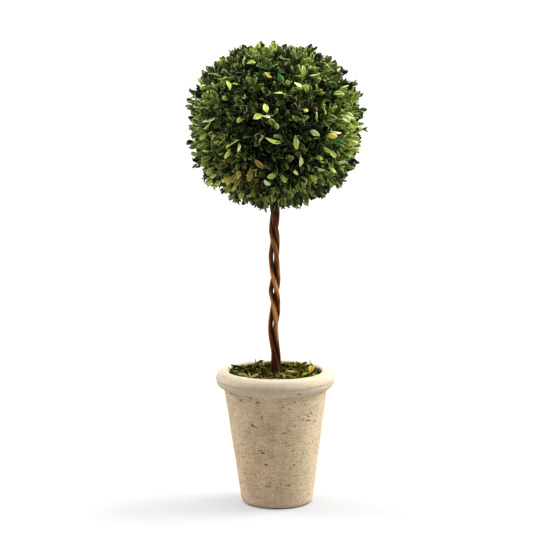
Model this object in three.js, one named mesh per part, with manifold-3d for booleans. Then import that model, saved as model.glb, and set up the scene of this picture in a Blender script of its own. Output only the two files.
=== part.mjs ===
// A preserved box topiary ball: a clipped ball of box sprigs on three twisted canes,
// set in a filled clay pot with a rolled rim, under a cover of moss and dry leaves.
// Millimetres, +Z up. The origin is the centre of the pot's flat underside, and -Y is the front.
import * as THREE from "three";
import { mergeVertices } from "three/addons/utils/BufferGeometryUtils.js";
import Module from "manifold-3d";

// Gap left between two pieces that touch
const SEAT_GAP = 0.35;

// Pot: a straight tapering wall and a rolled rim, set a little aside from the foot as thrown pots are
const POT_SIDES = 48;
const FOOT_RADIUS = 46;
const FOOT_ROUNDING = 6;
const RIM_ASIDE = -2.8;
const RIM_CENTRE_RADIUS = 72.6;
const RIM_ROUND_RADIUS = 13;
const RIM_CENTRE_HEIGHT = 181.2;
const RIM_UNDERSIDE_DEGREES = -82;
const RIM_STEPS = 8;
const LIP_RADIUS = 66.5;
const LIP_ROUNDING = 5;
const LIP_STEPS = 3;
const POT_INSIDE_FOOT_RADIUS = 42;
const POT_FLOOR_HEIGHT = 14;

// Filling and moss cover
const FILLING_TOP_HEIGHT = 170;
const FILLING_SIDES = 32;
const MOSS_SIDES = 30;
const MOSS_RADIUS = potClearRadius(lipHeight());
const MOSS_EDGE_HEIGHT = 188.6;
const MOSS_MIDDLE_HEIGHT = 190.5;
const MOSS_BUMP = 1.3;
const MOSS_RING_SHARES = [1, 0.8, 0.55, 0.28];

// Dry leaves and twig ends that lie on the moss
const LITTER_LEAVES = 26;
const LITTER_NEAR_RADIUS = 16;
const LITTER_WALL_MARGIN = 9;
const LITTER_SMALLEST = 0.62;
const LITTER_SIZE_RANGE = 0.16;
const LITTER_RISE_DEGREES = 8;
const LITTER_RISE_RANGE = 22;
const LITTER_TWIG_DEPTH = 5;
const LITTER_TWIG_ROOT_RADIUS = 1;
const LITTER_TWIG_TIP_RADIUS = 0.55;
const LITTER_TWIGS = [
  { x: -28, y: 57, side: -1, rise: 14 },
  { x: -60, y: 10, side: -8, rise: 12 },
  { x: 60, y: 10, side: -7, rise: 22 },
];

// Stem: three canes wound round each other, left-handed, tighter towards the top
const CANES = 3;
const CANE_SIDES = 8;
const CANE_STEPS = 34;
const CANE_FOOT_RADIUS = 3.65;
const CANE_TIP_RADIUS = 3.4;
const CANE_FOOT_HEIGHT = 120;
const CANE_TIP_HEIGHT = 498;
const TWIST_HEIGHT = 246;
const TWIST_DEGREES_PER_MM = 1.911;
const TWIST_GROWTH = 0.003745;
const TWIST_START_DEGREES = 63;
const WINDING_RADIUS = 4.5;
const WINDING_SWELL = 0.4;
const STEM_LOW_HEIGHT = 190;
const STEM_HIGH_HEIGHT = 430;
const STEM_SIDE = -1.1;
const KINK_SIDE = -2.6;
const KINK_HEIGHT = 254;
const KINK_REACH = 16;
const FOOT_SIDE = 2.4;
const FOOT_SIDE_HEIGHT = 198;
const FOOT_SIDE_REACH = 22;

// Ball: a clipped outline a little squarer and wider than a sphere
const BALL_HEIGHT = 545.2;
const BALL_HALF_WIDTH = 127.5;
const BALL_HALF_HEIGHT = 119.5;
const BALL_SQUARENESS = 2.3;
const CORE_SHARE = 0.735;
const CORE_RELIEF = 0.045;
const CORE_DETAIL = 4;
const STRAY_OUT = 0.034;
const STRAY_IN = 0.03;

// Sprigs: a twig with pairs of leaves, each pair square to the one below, and a side twig
const SPRIGS = 72;
const SPRIG_ROOT_SHARE = 0.6;
const SPRIG_LEAN_DEGREES = 13;
const TWIG_ROOT_RADIUS = 2.8;
const TWIG_TIP_RADIUS = 2;
const PAIRS = [
  { share: 0.58, spread: 68 },
  { share: 0.76, spread: 58 },
  { share: 0.94, spread: 27 },
];
const SIDE_PAIRS = [{ share: 0.9, spread: 32 }];
const PAIR_STEP = 1;
const SIDE_TWIG_SHARE = 0.45;
const SIDE_TWIG_DEGREES = 48;
const SIDE_TWIG_LENGTH = 17;
const SIDE_TWIG_CHANCE = 0.25;
const LEAF_LENGTH = 30;
const LEAF_WIDTH = 19;
const LEAF_THICKNESS = 1.3;
const LEAF_THINNEST_SHARE = 0.8;
const LEAF_WIDEST_SHARE = 0.62;
const LEAF_CLOSING = 0.8;
const LEAF_SINK = 0.8;
const LEAF_ATTEMPTS = 6;
const LEAF_SMALLEST = 0.9;
const LEAF_SIZE_RANGE = 0.2;
const SPREAD_JITTER = 14;
const STEM_CLEARANCE = 12;

const GOLDEN_ANGLE = Math.PI * (3 - Math.sqrt(5));
const RANDOM_SEED = 1203;

const wasm = await Module();
wasm.setup();

const degrees = THREE.MathUtils.degToRad;

// A repeatable stream of numbers between 0 and 1
function seededRandom(seed) {
  let state = seed;
  return () => {
    state = (state + 0x6d2b79f5) | 0;
    let mixed = Math.imul(state ^ (state >>> 15), 1 | state);
    mixed = (mixed + Math.imul(mixed ^ (mixed >>> 7), 61 | mixed)) ^ mixed;
    return ((mixed ^ (mixed >>> 14)) >>> 0) / 4294967296;
  };
}

// A closed geometry as a solid that can be joined and cut
function solidFrom(geometry) {
  const bare = geometry.clone();
  bare.deleteAttribute("normal");
  bare.deleteAttribute("uv");
  const merged = mergeVertices(bare, 1e-3);
  const corners = merged.index.array;
  const kept = [];
  for (let i = 0; i < corners.length; i += 3) {
    const [a, b, c] = [corners[i], corners[i + 1], corners[i + 2]];
    if (a !== b && b !== c && c !== a) {
      kept.push(a, b, c);
    }
  }
  const mesh = new wasm.Mesh({
    numProp: 3,
    vertProperties: merged.attributes.position.array,
    triVerts: new Uint32Array(kept),
  });
  return new wasm.Manifold(mesh);
}

// A solid back as a geometry, without the loose scraps that a cut can leave
function geometryFrom(solid) {
  const bodies = solid.decompose();
  bodies.sort((a, b) => b.volume() - a.volume());
  const mesh = bodies[0].getMesh();
  const geometry = new THREE.BufferGeometry();
  geometry.setAttribute("position", new THREE.BufferAttribute(mesh.vertProperties, 3));
  geometry.setIndex(new THREE.BufferAttribute(mesh.triVerts, 1));
  geometry.computeVertexNormals();
  return geometry;
}

// A profile of [radius, height] points turned about the Z axis
function turned(profile, sides) {
  const points = profile.map(([radius, height]) => new THREE.Vector2(radius, height));
  return new THREE.LatheGeometry(points, sides).rotateX(Math.PI / 2);
}

// Points on a round corner of a profile
function arc(centreRadius, centreHeight, radius, fromDegrees, toDegrees, steps) {
  const points = [];
  for (let i = 0; i <= steps; i++) {
    const angle = degrees(fromDegrees + ((toDegrees - fromDegrees) * i) / steps);
    points.push([
      centreRadius + radius * Math.cos(angle),
      centreHeight + radius * Math.sin(angle),
    ]);
  }
  return points;
}

// Height where the inside wall ends and the rim's inner rounding begins
function lipHeight() {
  return RIM_CENTRE_HEIGHT + RIM_ROUND_RADIUS - LIP_ROUNDING;
}

function potInsideRadius(height) {
  const share = (height - POT_FLOOR_HEIGHT) / (lipHeight() - POT_FLOOR_HEIGHT);
  return THREE.MathUtils.lerp(POT_INSIDE_FOOT_RADIUS, LIP_RADIUS, share);
}

// Sideways place of the pot's axis, which leans from the foot's middle to the rim's
function potSide(height) {
  return RIM_ASIDE * Math.min(1, height / (RIM_CENTRE_HEIGHT + RIM_ROUND_RADIUS));
}

// A piece that was made upright, leant with the pot's axis
function leantWithPot(geometry) {
  const places = geometry.attributes.position;
  for (let i = 0; i < places.count; i++) {
    places.setX(i, places.getX(i) + potSide(places.getZ(i)));
  }
  return geometry;
}

// Radius that a filling may have inside the pot's flat-sided wall
function potClearRadius(height) {
  return potInsideRadius(height) * Math.cos(Math.PI / POT_SIDES) - SEAT_GAP;
}

function makePot() {
  const profile = [
    [0, 0],
    ...arc(FOOT_RADIUS, FOOT_ROUNDING, FOOT_ROUNDING, -90, 0, 3),
    ...arc(RIM_CENTRE_RADIUS, RIM_CENTRE_HEIGHT, RIM_ROUND_RADIUS, RIM_UNDERSIDE_DEGREES, 90, RIM_STEPS),
    ...arc(LIP_RADIUS + LIP_ROUNDING, lipHeight(), LIP_ROUNDING, 90, 180, LIP_STEPS),
    [POT_INSIDE_FOOT_RADIUS, POT_FLOOR_HEIGHT],
    [0, POT_FLOOR_HEIGHT],
  ];
  return leantWithPot(turned(profile, POT_SIDES));
}

function makeFilling(canesGrown) {
  const floor = POT_FLOOR_HEIGHT + SEAT_GAP;
  const profile = [
    [0, floor],
    [potClearRadius(floor), floor],
    [potClearRadius(FILLING_TOP_HEIGHT), FILLING_TOP_HEIGHT],
    [0, FILLING_TOP_HEIGHT],
  ];
  const block = solidFrom(leantWithPot(turned(profile, FILLING_SIDES)));
  return geometryFrom(block.subtract(canesGrown));
}

// Height of the moss at a place in the pot's mouth
function mossHeight(x, y) {
  const share = Math.min(1, Math.hypot(x, y) / MOSS_RADIUS);
  const dome = THREE.MathUtils.lerp(MOSS_MIDDLE_HEIGHT, MOSS_EDGE_HEIGHT, share * share);
  return dome + MOSS_BUMP * Math.sin(x / 7.5 + 1) * Math.cos(y / 6.5);
}

function makeMossCover(canesGrown, random) {
  const underside = FILLING_TOP_HEIGHT + SEAT_GAP;
  const profile = [
    [0, underside],
    [potClearRadius(underside), underside],
    ...MOSS_RING_SHARES.map((share) => [MOSS_RADIUS * share, MOSS_EDGE_HEIGHT]),
    [0, MOSS_EDGE_HEIGHT],
  ];
  const cushion = turned(profile, MOSS_SIDES);
  const places = cushion.attributes.position;
  for (let i = 0; i < places.count; i++) {
    if (places.getZ(i) > underside + 1) {
      places.setZ(i, mossHeight(places.getX(i), places.getY(i)));
    }
  }
  const pieces = [cushion, ...makeLitterLeaves(random), ...LITTER_TWIGS.map(makeLitterTwig)];
  const solids = pieces.map((piece) => solidFrom(leantWithPot(piece)));
  return geometryFrom(wasm.Manifold.union(solids).subtract(canesGrown));
}

// Dry leaves that lie half sunk in the moss, clear of the pot's wall
function makeLitterLeaves(random) {
  const leaves = [];
  const farRadius = MOSS_RADIUS - LITTER_WALL_MARGIN;
  for (let i = 0; i < LITTER_LEAVES; i++) {
    const share = Math.sqrt((i + 0.5) / LITTER_LEAVES);
    const away = THREE.MathUtils.lerp(LITTER_NEAR_RADIUS, farRadius, share);
    const turn = i * GOLDEN_ANGLE;
    const [x, y] = [away * Math.cos(turn), away * Math.sin(turn)];
    const heading = random() * 2 * Math.PI;
    const rise = degrees(LITTER_RISE_DEGREES + LITTER_RISE_RANGE * random());
    const along = new THREE.Vector3(
      Math.cos(heading) * Math.cos(rise),
      Math.sin(heading) * Math.cos(rise),
      Math.sin(rise),
    );
    const size = LITTER_SMALLEST + LITTER_SIZE_RANGE * random();
    const middle = new THREE.Vector3(x, y, mossHeight(x, y) - LEAF_THICKNESS / 2);
    const root = middle.addScaledVector(along, -0.4 * LEAF_LENGTH * size);
    const leaf = makeLeaf(root, along, new THREE.Vector3(0, 0, 1), size);
    if (leafPoints(leaf).every((point) => Math.hypot(point.x, point.y) < MOSS_RADIUS)) {
      leaves.push(leaf);
    }
  }
  return leaves;
}

// A twig end that stands up out of the moss and leans sideways
function makeLitterTwig({ x, y, side, rise }) {
  const foot = new THREE.Vector3(x, y, mossHeight(x, y) - LITTER_TWIG_DEPTH);
  const top = new THREE.Vector3(x + side, y, foot.z + rise);
  return makeTwig(foot, top, LITTER_TWIG_ROOT_RADIUS, LITTER_TWIG_TIP_RADIUS);
}

// Sideways place of the stem's middle from the rim's: a slight kink, and a foot set aside
function stemSide(height) {
  const offKink = (height - KINK_HEIGHT) / KINK_REACH;
  const offFoot = (height - FOOT_SIDE_HEIGHT) / FOOT_SIDE_REACH;
  const kink = KINK_SIDE * Math.exp(-offKink * offKink);
  return STEM_SIDE + kink + FOOT_SIDE * Math.exp(-offFoot * offFoot);
}

// A point on the centre line of one cane
function canePoint(cane, height) {
  const above = height - TWIST_HEIGHT;
  const twist = TWIST_DEGREES_PER_MM * above + TWIST_GROWTH * above * above;
  const angle = degrees(-90 - twist + TWIST_START_DEGREES + (360 / CANES) * cane);
  const share = (height - STEM_LOW_HEIGHT) / (STEM_HIGH_HEIGHT - STEM_LOW_HEIGHT);
  const swell = Math.sin(Math.PI * THREE.MathUtils.clamp(share, 0, 1));
  const winding = WINDING_RADIUS + WINDING_SWELL * swell;
  return new THREE.Vector3(
    potSide(height) + stemSide(height) + winding * Math.cos(angle),
    winding * Math.sin(angle),
    height,
  );
}

// A tapering rod bent along a cane's centre line, with flat level ends
function makeCane(cane, grow) {
  const length = CANE_TIP_HEIGHT - CANE_FOOT_HEIGHT + 2 * grow;
  const rod = new THREE.CylinderGeometry(
    CANE_TIP_RADIUS + grow,
    CANE_FOOT_RADIUS + grow,
    length,
    CANE_SIDES,
    CANE_STEPS,
  );
  rod.rotateX(Math.PI / 2);
  rod.translate(0, 0, (CANE_TIP_HEIGHT + CANE_FOOT_HEIGHT) / 2);
  const places = rod.attributes.position;
  for (let i = 0; i < places.count; i++) {
    const centre = canePoint(cane, places.getZ(i));
    places.setX(i, places.getX(i) + centre.x);
    places.setY(i, places.getY(i) + centre.y);
  }
  return rod;
}

// Distance from the ball's middle to its clipped outline, towards a point
function ballReach(direction) {
  const level = Math.hypot(direction.x, direction.y) / BALL_HALF_WIDTH;
  const upright = Math.abs(direction.z) / BALL_HALF_HEIGHT;
  const sum = level ** BALL_SQUARENESS + upright ** BALL_SQUARENESS;
  return direction.length() * sum ** (-1 / BALL_SQUARENESS);
}

// Even directions round a ball, on a golden-angle spiral
function evenDirections(count) {
  return Array.from({ length: count }, (_, i) => {
    const z = 1 - (2 * i + 1) / count;
    const level = Math.sqrt(1 - z * z);
    const turn = i * GOLDEN_ANGLE;
    return new THREE.Vector3(level * Math.cos(turn), level * Math.sin(turn), z);
  });
}

// Two directions square to one direction and to each other
function acrossFrom(direction) {
  const helper = Math.abs(direction.z) < 0.9 ? new THREE.Vector3(0, 0, 1) : new THREE.Vector3(1, 0, 0);
  const first = new THREE.Vector3().crossVectors(helper, direction).normalize();
  const second = new THREE.Vector3().crossVectors(direction, first).normalize();
  return [first, second];
}

// One direction leant away from another, towards a turn about it
function leant(direction, turnAngle, leanAngle) {
  const [first, second] = acrossFrom(direction);
  return new THREE.Vector3()
    .addScaledVector(direction, Math.cos(leanAngle))
    .addScaledVector(first, Math.sin(leanAngle) * Math.cos(turnAngle))
    .addScaledVector(second, Math.sin(leanAngle) * Math.sin(turnAngle))
    .normalize();
}

// A three-sided tapering twig between two points
function makeTwig(root, tip, rootRadius, tipRadius) {
  const along = new THREE.Vector3().subVectors(tip, root);
  const length = along.length();
  along.normalize();
  const [first, second] = acrossFrom(along);
  const twig = new THREE.CylinderGeometry(tipRadius, rootRadius, length, 3);
  twig.translate(0, length / 2, 0);
  const frame = new THREE.Matrix4().makeBasis(second, along, first).setPosition(root);
  return twig.applyMatrix4(frame);
}

// A leaf of eight faces: pointed at its root, widest past its middle
function makeLeaf(root, along, faceNormal, size) {
  const leaf = new THREE.OctahedronGeometry(1);
  const places = leaf.attributes.position;
  for (let i = 0; i < places.count; i++) {
    const end = Math.round(places.getZ(i));
    const share = end < 0 ? 0 : end > 0 ? 1 : LEAF_WIDEST_SHARE;
    places.setXYZ(
      i,
      (places.getX(i) * LEAF_WIDTH) / 2,
      (places.getY(i) * LEAF_THICKNESS) / 2,
      share * LEAF_LENGTH,
    );
  }
  const side = new THREE.Vector3().crossVectors(faceNormal, along).normalize();
  const up = new THREE.Vector3().crossVectors(along, side).normalize();
  leaf.scale(size, Math.max(size, LEAF_THINNEST_SHARE), size);
  return leaf.applyMatrix4(new THREE.Matrix4().makeBasis(side, up, along).setPosition(root));
}

function leafPoints(leaf) {
  const places = leaf.attributes.position;
  return Array.from({ length: places.count }, (_, i) =>
    new THREE.Vector3().fromBufferAttribute(places, i),
  );
}

// True where a piece of a sprig keeps to the ball's space and stays clear of the stem
function keepsToSpace(piece, stray) {
  return leafPoints(piece).every((point) => {
    const inside = point.length() <= ballReach(point) * (1 + stray);
    const height = point.z + BALL_HEIGHT;
    const fromStem = Math.hypot(point.x - stemSide(height), point.y);
    const clear = point.z > 0 || fromStem > STEM_CLEARANCE;
    return inside && clear;
  });
}

// True where a new solid would cut through one that is already there
function crossesAny(solid, others) {
  const box = solid.boundingBox();
  return others.some((other) => {
    const otherBox = other.boundingBox();
    const near = [0, 1, 2].every(
      (axis) => box.min[axis] < otherBox.max[axis] && otherBox.min[axis] < box.max[axis],
    );
    return near && solid.intersect(other).volume() > 0;
  });
}

// A shoot is one bare twig with the turn of its lowest pair of leaves and the pairs it bears
function makeShoot(root, tip, rootRadius, tipRadius, turn, pairs) {
  const twig = makeTwig(root, tip, rootRadius, tipRadius);
  return { root, tip, turn, pairs, twig, solid: solidFrom(twig) };
}

// The shoots of one sprig: a leaning twig, and by chance a side twig that forks from it
function branchSprig(direction, random) {
  const reach = ballReach(direction);
  const stray = THREE.MathUtils.lerp(-STRAY_IN, STRAY_OUT, random());
  const along = leant(direction, 2 * Math.PI * random(), degrees(SPRIG_LEAN_DEGREES * random()));
  const root = direction.clone().multiplyScalar(reach * SPRIG_ROOT_SHARE);
  const height = reach * (1 + stray) - LEAF_LENGTH * LEAF_CLOSING - root.length();
  const tip = root.clone().addScaledVector(along, height);
  const turn = 2 * Math.PI * random();
  const shoots = [makeShoot(root, tip, TWIG_ROOT_RADIUS, TWIG_TIP_RADIUS, turn, PAIRS)];
  if (random() < SIDE_TWIG_CHANCE) {
    const fork = new THREE.Vector3().lerpVectors(root, tip, SIDE_TWIG_SHARE);
    const sideAlong = leant(along, turn + Math.PI / 2, degrees(SIDE_TWIG_DEGREES));
    const sideTip = fork.clone().addScaledVector(sideAlong, SIDE_TWIG_LENGTH);
    shoots.push(makeShoot(fork, sideTip, TWIG_TIP_RADIUS, TWIG_TIP_RADIUS, turn, SIDE_PAIRS));
  }
  return shoots;
}

// The leaves of a shoot: opposite pairs, each pair square to the one below.
// A leaf that would leave the ball's space, or cut another piece, is turned a little or left out.
function leafOut(shoot, others, random) {
  const along = new THREE.Vector3().subVectors(shoot.tip, shoot.root).normalize();
  const leaves = [];
  shoot.pairs.forEach(({ share, spread }, pair) => {
    for (const side of [0, 1]) {
      const joint = new THREE.Vector3().lerpVectors(shoot.root, shoot.tip, share);
      joint.addScaledVector(along, side * PAIR_STEP);
      const turn = shoot.turn + Math.PI * side + (pair * Math.PI) / 2;
      for (let attempt = 0; attempt < LEAF_ATTEMPTS; attempt++) {
        const turnNow = turn + random() - 0.5;
        const spreadNow = degrees(spread + SPREAD_JITTER * (random() - 0.5));
        const leafAlong = leant(along, turnNow, spreadNow);
        const leafRoot = joint.clone().addScaledVector(leafAlong, -LEAF_SINK);
        const size = LEAF_SMALLEST + LEAF_SIZE_RANGE * random();
        const leaf = makeLeaf(leafRoot, leafAlong, along, size);
        const solid = solidFrom(leaf);
        if (keepsToSpace(leaf, STRAY_OUT) && !crossesAny(solid, [...others, ...leaves])) {
          leaves.push(solid);
          break;
        }
      }
    }
  });
  return leaves;
}

// The dense inside of the ball, in the outline's own shape, rough as packed leaves are
function makeCore() {
  const core = new THREE.IcosahedronGeometry(1, CORE_DETAIL);
  const places = core.attributes.position;
  for (let i = 0; i < places.count; i++) {
    const direction = new THREE.Vector3().fromBufferAttribute(places, i).normalize();
    const { x, y, z } = direction;
    const relief = Math.sin(17 * x + 5 * z) * Math.sin(19 * y + 3 * x) * Math.cos(16 * z + 7 * y);
    direction.multiplyScalar(ballReach(direction) * (CORE_SHARE + CORE_RELIEF * relief));
    places.setXYZ(i, direction.x, direction.y, direction.z);
  }
  return core;
}

// The clipped ball: sprigs stand out of the core, twigs first and then their leaves
function makeFoliageBall(canesGrown, random) {
  const shoots = [];
  for (const direction of evenDirections(SPRIGS)) {
    const sprig = branchSprig(direction, random).filter((shoot) => keepsToSpace(shoot.twig, 0));
    shoots.push(...sprig);
  }
  const twigs = shoots.map((shoot) => shoot.solid);
  const leaves = [];
  for (const shoot of shoots) {
    const others = [...twigs.filter((twig) => twig !== shoot.solid), ...leaves];
    leaves.push(...leafOut(shoot, others, random));
  }
  const joined = wasm.Manifold.union([solidFrom(makeCore()), ...twigs, ...leaves]);
  return geometryFrom(joined.subtract(canesGrown.translate([-RIM_ASIDE, 0, -BALL_HEIGHT])));
}

function finish(colour, roughness) {
  return new THREE.MeshStandardMaterial({ color: colour, roughness, metalness: 0 });
}

function named(name, geometry, material) {
  const mesh = new THREE.Mesh(geometry, material);
  mesh.name = name;
  return mesh;
}

const caneNumbers = Array.from({ length: CANES }, (_, i) => i);
const canesGrown = wasm.Manifold.union(
  caneNumbers.map((cane) => solidFrom(makeCane(cane, SEAT_GAP))),
);

const potted = new THREE.Group();
potted.add(
  named("pot", makePot(), finish(0xcdb89a, 0.85)),
  named("pot_filling", makeFilling(canesGrown), finish(0x6b6257, 0.95)),
  named("moss_cover", makeMossCover(canesGrown, seededRandom(RANDOM_SEED)), finish(0x5d5a27, 0.9)),
);

const stem = new THREE.Group();
for (const cane of caneNumbers) {
  stem.add(named(`stem_cane_${cane + 1}`, makeCane(cane, 0), finish(0x6e3f22, 0.45)));
}

const foliage = named(
  "foliage_ball",
  makeFoliageBall(canesGrown, seededRandom(RANDOM_SEED + 1)),
  finish(0x3f5a24, 0.5),
);
foliage.position.set(RIM_ASIDE, 0, BALL_HEIGHT);

const topiary = new THREE.Group();
topiary.add(potted, stem, foliage);

export default topiary;
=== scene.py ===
"""A preserved box topiary ball, dressed for rendering round its packed frame.

Metres, +Z up, with the origin at the centre of the pot's flat underside and -Y towards the front.
"""

import functools
import math
import operator
import random

import bmesh
import bpy
import numpy as np
from bpy.props import FloatProperty, FloatVectorProperty, IntProperty, PointerProperty
from mathutils import Matrix, Quaternion, Vector, noise


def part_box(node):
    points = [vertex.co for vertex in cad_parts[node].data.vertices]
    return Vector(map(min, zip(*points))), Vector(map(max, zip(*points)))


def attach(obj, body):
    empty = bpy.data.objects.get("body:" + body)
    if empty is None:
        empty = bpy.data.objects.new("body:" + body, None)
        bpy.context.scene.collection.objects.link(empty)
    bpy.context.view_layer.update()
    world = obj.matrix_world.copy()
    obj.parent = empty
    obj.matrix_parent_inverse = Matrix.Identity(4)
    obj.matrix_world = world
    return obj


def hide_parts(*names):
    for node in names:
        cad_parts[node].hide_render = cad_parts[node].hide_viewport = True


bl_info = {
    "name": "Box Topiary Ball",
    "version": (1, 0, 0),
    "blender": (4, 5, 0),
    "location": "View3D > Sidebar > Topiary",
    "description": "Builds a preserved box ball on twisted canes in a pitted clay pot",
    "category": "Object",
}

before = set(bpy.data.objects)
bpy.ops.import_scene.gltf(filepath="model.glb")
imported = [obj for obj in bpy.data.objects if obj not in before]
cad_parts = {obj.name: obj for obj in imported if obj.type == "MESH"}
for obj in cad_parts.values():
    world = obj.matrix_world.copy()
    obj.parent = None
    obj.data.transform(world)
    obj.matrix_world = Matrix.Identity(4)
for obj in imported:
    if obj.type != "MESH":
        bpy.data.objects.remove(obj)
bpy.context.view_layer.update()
POT_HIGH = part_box("pot")[1]
MOSS_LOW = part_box("moss_cover")[0]
CANE_LOW, CANE_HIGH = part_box("stem_cane_1")

MM = 0.001
BODY = "root"
GOLDEN_ANGLE = math.pi * (3 - math.sqrt(5))
FULL_TURN = 2 * math.pi
UP = Vector((0, 0, 1))

# Sideways place of the rim's middle, and of all that stands in the pot, from the foot's middle
RIM_ASIDE = -2.8 * MM
MOUTH_MIDDLE = Vector((RIM_ASIDE, 0, 0))

# The photograph's frame and where its camera stood
PHOTO_PIXELS = 556
PHOTO_FOCAL_PIXELS = 2170
SENSOR_WIDTH_MM = 36
CAMERA_PLACE = Vector((0.0011, -3.063, 0.8236))
CAMERA_TILT_DEGREES = 80.8

# Plain colours of the leaves: upper side, underside and rolled rim, whose paler colour is partly the leaf's
# own edge and partly a painted highlight along it
LEAF_TINTS = {
    "deep": ((0.005, 0.011, 0.003), (0.012, 0.020, 0.006), (0.022, 0.034, 0.010)),
    "dark": ((0.012, 0.025, 0.005), (0.030, 0.047, 0.012), (0.056, 0.082, 0.020)),
    "mid": ((0.040, 0.074, 0.012), (0.088, 0.122, 0.030), (0.170, 0.225, 0.060)),
    "fresh": ((0.125, 0.200, 0.026), (0.225, 0.290, 0.058), (0.350, 0.430, 0.115)),
    "vivid": ((0.014, 0.092, 0.012), (0.060, 0.140, 0.040), (0.100, 0.230, 0.070)),
    "lime": ((0.380, 0.470, 0.070), (0.480, 0.560, 0.140), (0.620, 0.680, 0.260)),
    "yellow": ((0.640, 0.570, 0.055), (0.660, 0.620, 0.150), (0.740, 0.710, 0.300)),
    "faded": ((0.300, 0.300, 0.180), (0.350, 0.355, 0.220), (0.430, 0.435, 0.295)),
    "ochre": ((0.430, 0.430, 0.060), (0.450, 0.450, 0.100), (0.520, 0.520, 0.180)),
    "bleached": ((0.500, 0.580, 0.210), (0.600, 0.660, 0.300), (0.720, 0.760, 0.440)),
    "olive": ((0.070, 0.074, 0.014), (0.130, 0.132, 0.040), (0.240, 0.240, 0.085)),
    "amber": ((0.270, 0.195, 0.030), (0.300, 0.225, 0.050), (0.400, 0.310, 0.100)),
    "brown": ((0.034, 0.022, 0.009), (0.060, 0.041, 0.018), (0.120, 0.085, 0.040)),
}
GREENS = ["deep", "dark", "mid", "fresh"]

# How often a sprig takes each green, before each of its leaves strays from it
SPRIG_SHARES = {"deep": 0.27, "dark": 0.36, "mid": 0.27, "fresh": 0.10}

# How many greens lighter or darker than its sprig's a leaf is, and how often
STEP_SHARES = {-1: 0.20, 0: 0.48, 1: 0.24, 2: 0.08}

# How often a single leaf takes a tint of its own, wherever it is
STRAY_SHARES = {
    "olive": 0.060,
    "brown": 0.022,
    "lime": 0.022,
    "vivid": 0.020,
    "amber": 0.004,
    "yellow": 0.002,
}

# Places on the ball where leaves of one tint gather: direction, reach as a cosine, tint, chance. The fresh,
# lime and bleached patches on the top, left, right and lower edges are painted light, and the deep patch at
# the front middle is painted shade
TINT_AND_LIGHT_PATCHES = [
    ((-0.30, -0.76, -0.57), 0.972, "amber", 0.13),
    ((-0.30, -0.76, -0.57), 0.968, "brown", 0.24),
    ((-0.62, -0.45, -0.62), 0.988, "yellow", 0.34),
    # Painted light: fresher greens where the top and the left, right and lower edges catch the light
    ((-0.08, -0.35, 0.93), 0.975, "fresh", 0.50),
    ((-0.10, -0.16, 0.98), 0.986, "lime", 0.50),
    ((-0.82, -0.38, 0.43), 0.972, "lime", 0.18),
    ((-0.80, -0.40, 0.45), 0.950, "fresh", 0.32),
    ((-0.93, -0.30, 0.00), 0.930, "fresh", 0.32),
    ((-0.72, -0.38, -0.58), 0.950, "fresh", 0.36),
    ((-0.78, -0.30, -0.55), 0.975, "lime", 0.36),
    ((0.42, -0.38, 0.82), 0.950, "fresh", 0.32),
    ((0.70, -0.52, -0.48), 0.955, "fresh", 0.26),
    ((0.30, -0.55, -0.78), 0.965, "fresh", 0.30),
    # Painted shade: darker greens at the front middle
    ((0.05, -0.98, -0.12), 0.840, "deep", 0.40),
    # A darker patch at the back
    ((-0.10, 0.95, 0.20), 0.900, "deep", 0.25),
    # Painted light: fresher and paler leaves at the left and right edges
    ((-0.88, -0.25, -0.25), 0.985, "lime", 0.20),
    ((0.88, -0.42, 0.05), 0.920, "fresh", 0.54),
    ((0.93, -0.30, -0.08), 0.960, "lime", 0.46),
    ((0.89, -0.42, 0.16), 0.982, "bleached", 0.30),
    # Patches at the back
    ((0.55, 0.70, 0.30), 0.970, "fresh", 0.45),
    ((-0.40, 0.80, -0.35), 0.980, "amber", 0.30),
]

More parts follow.
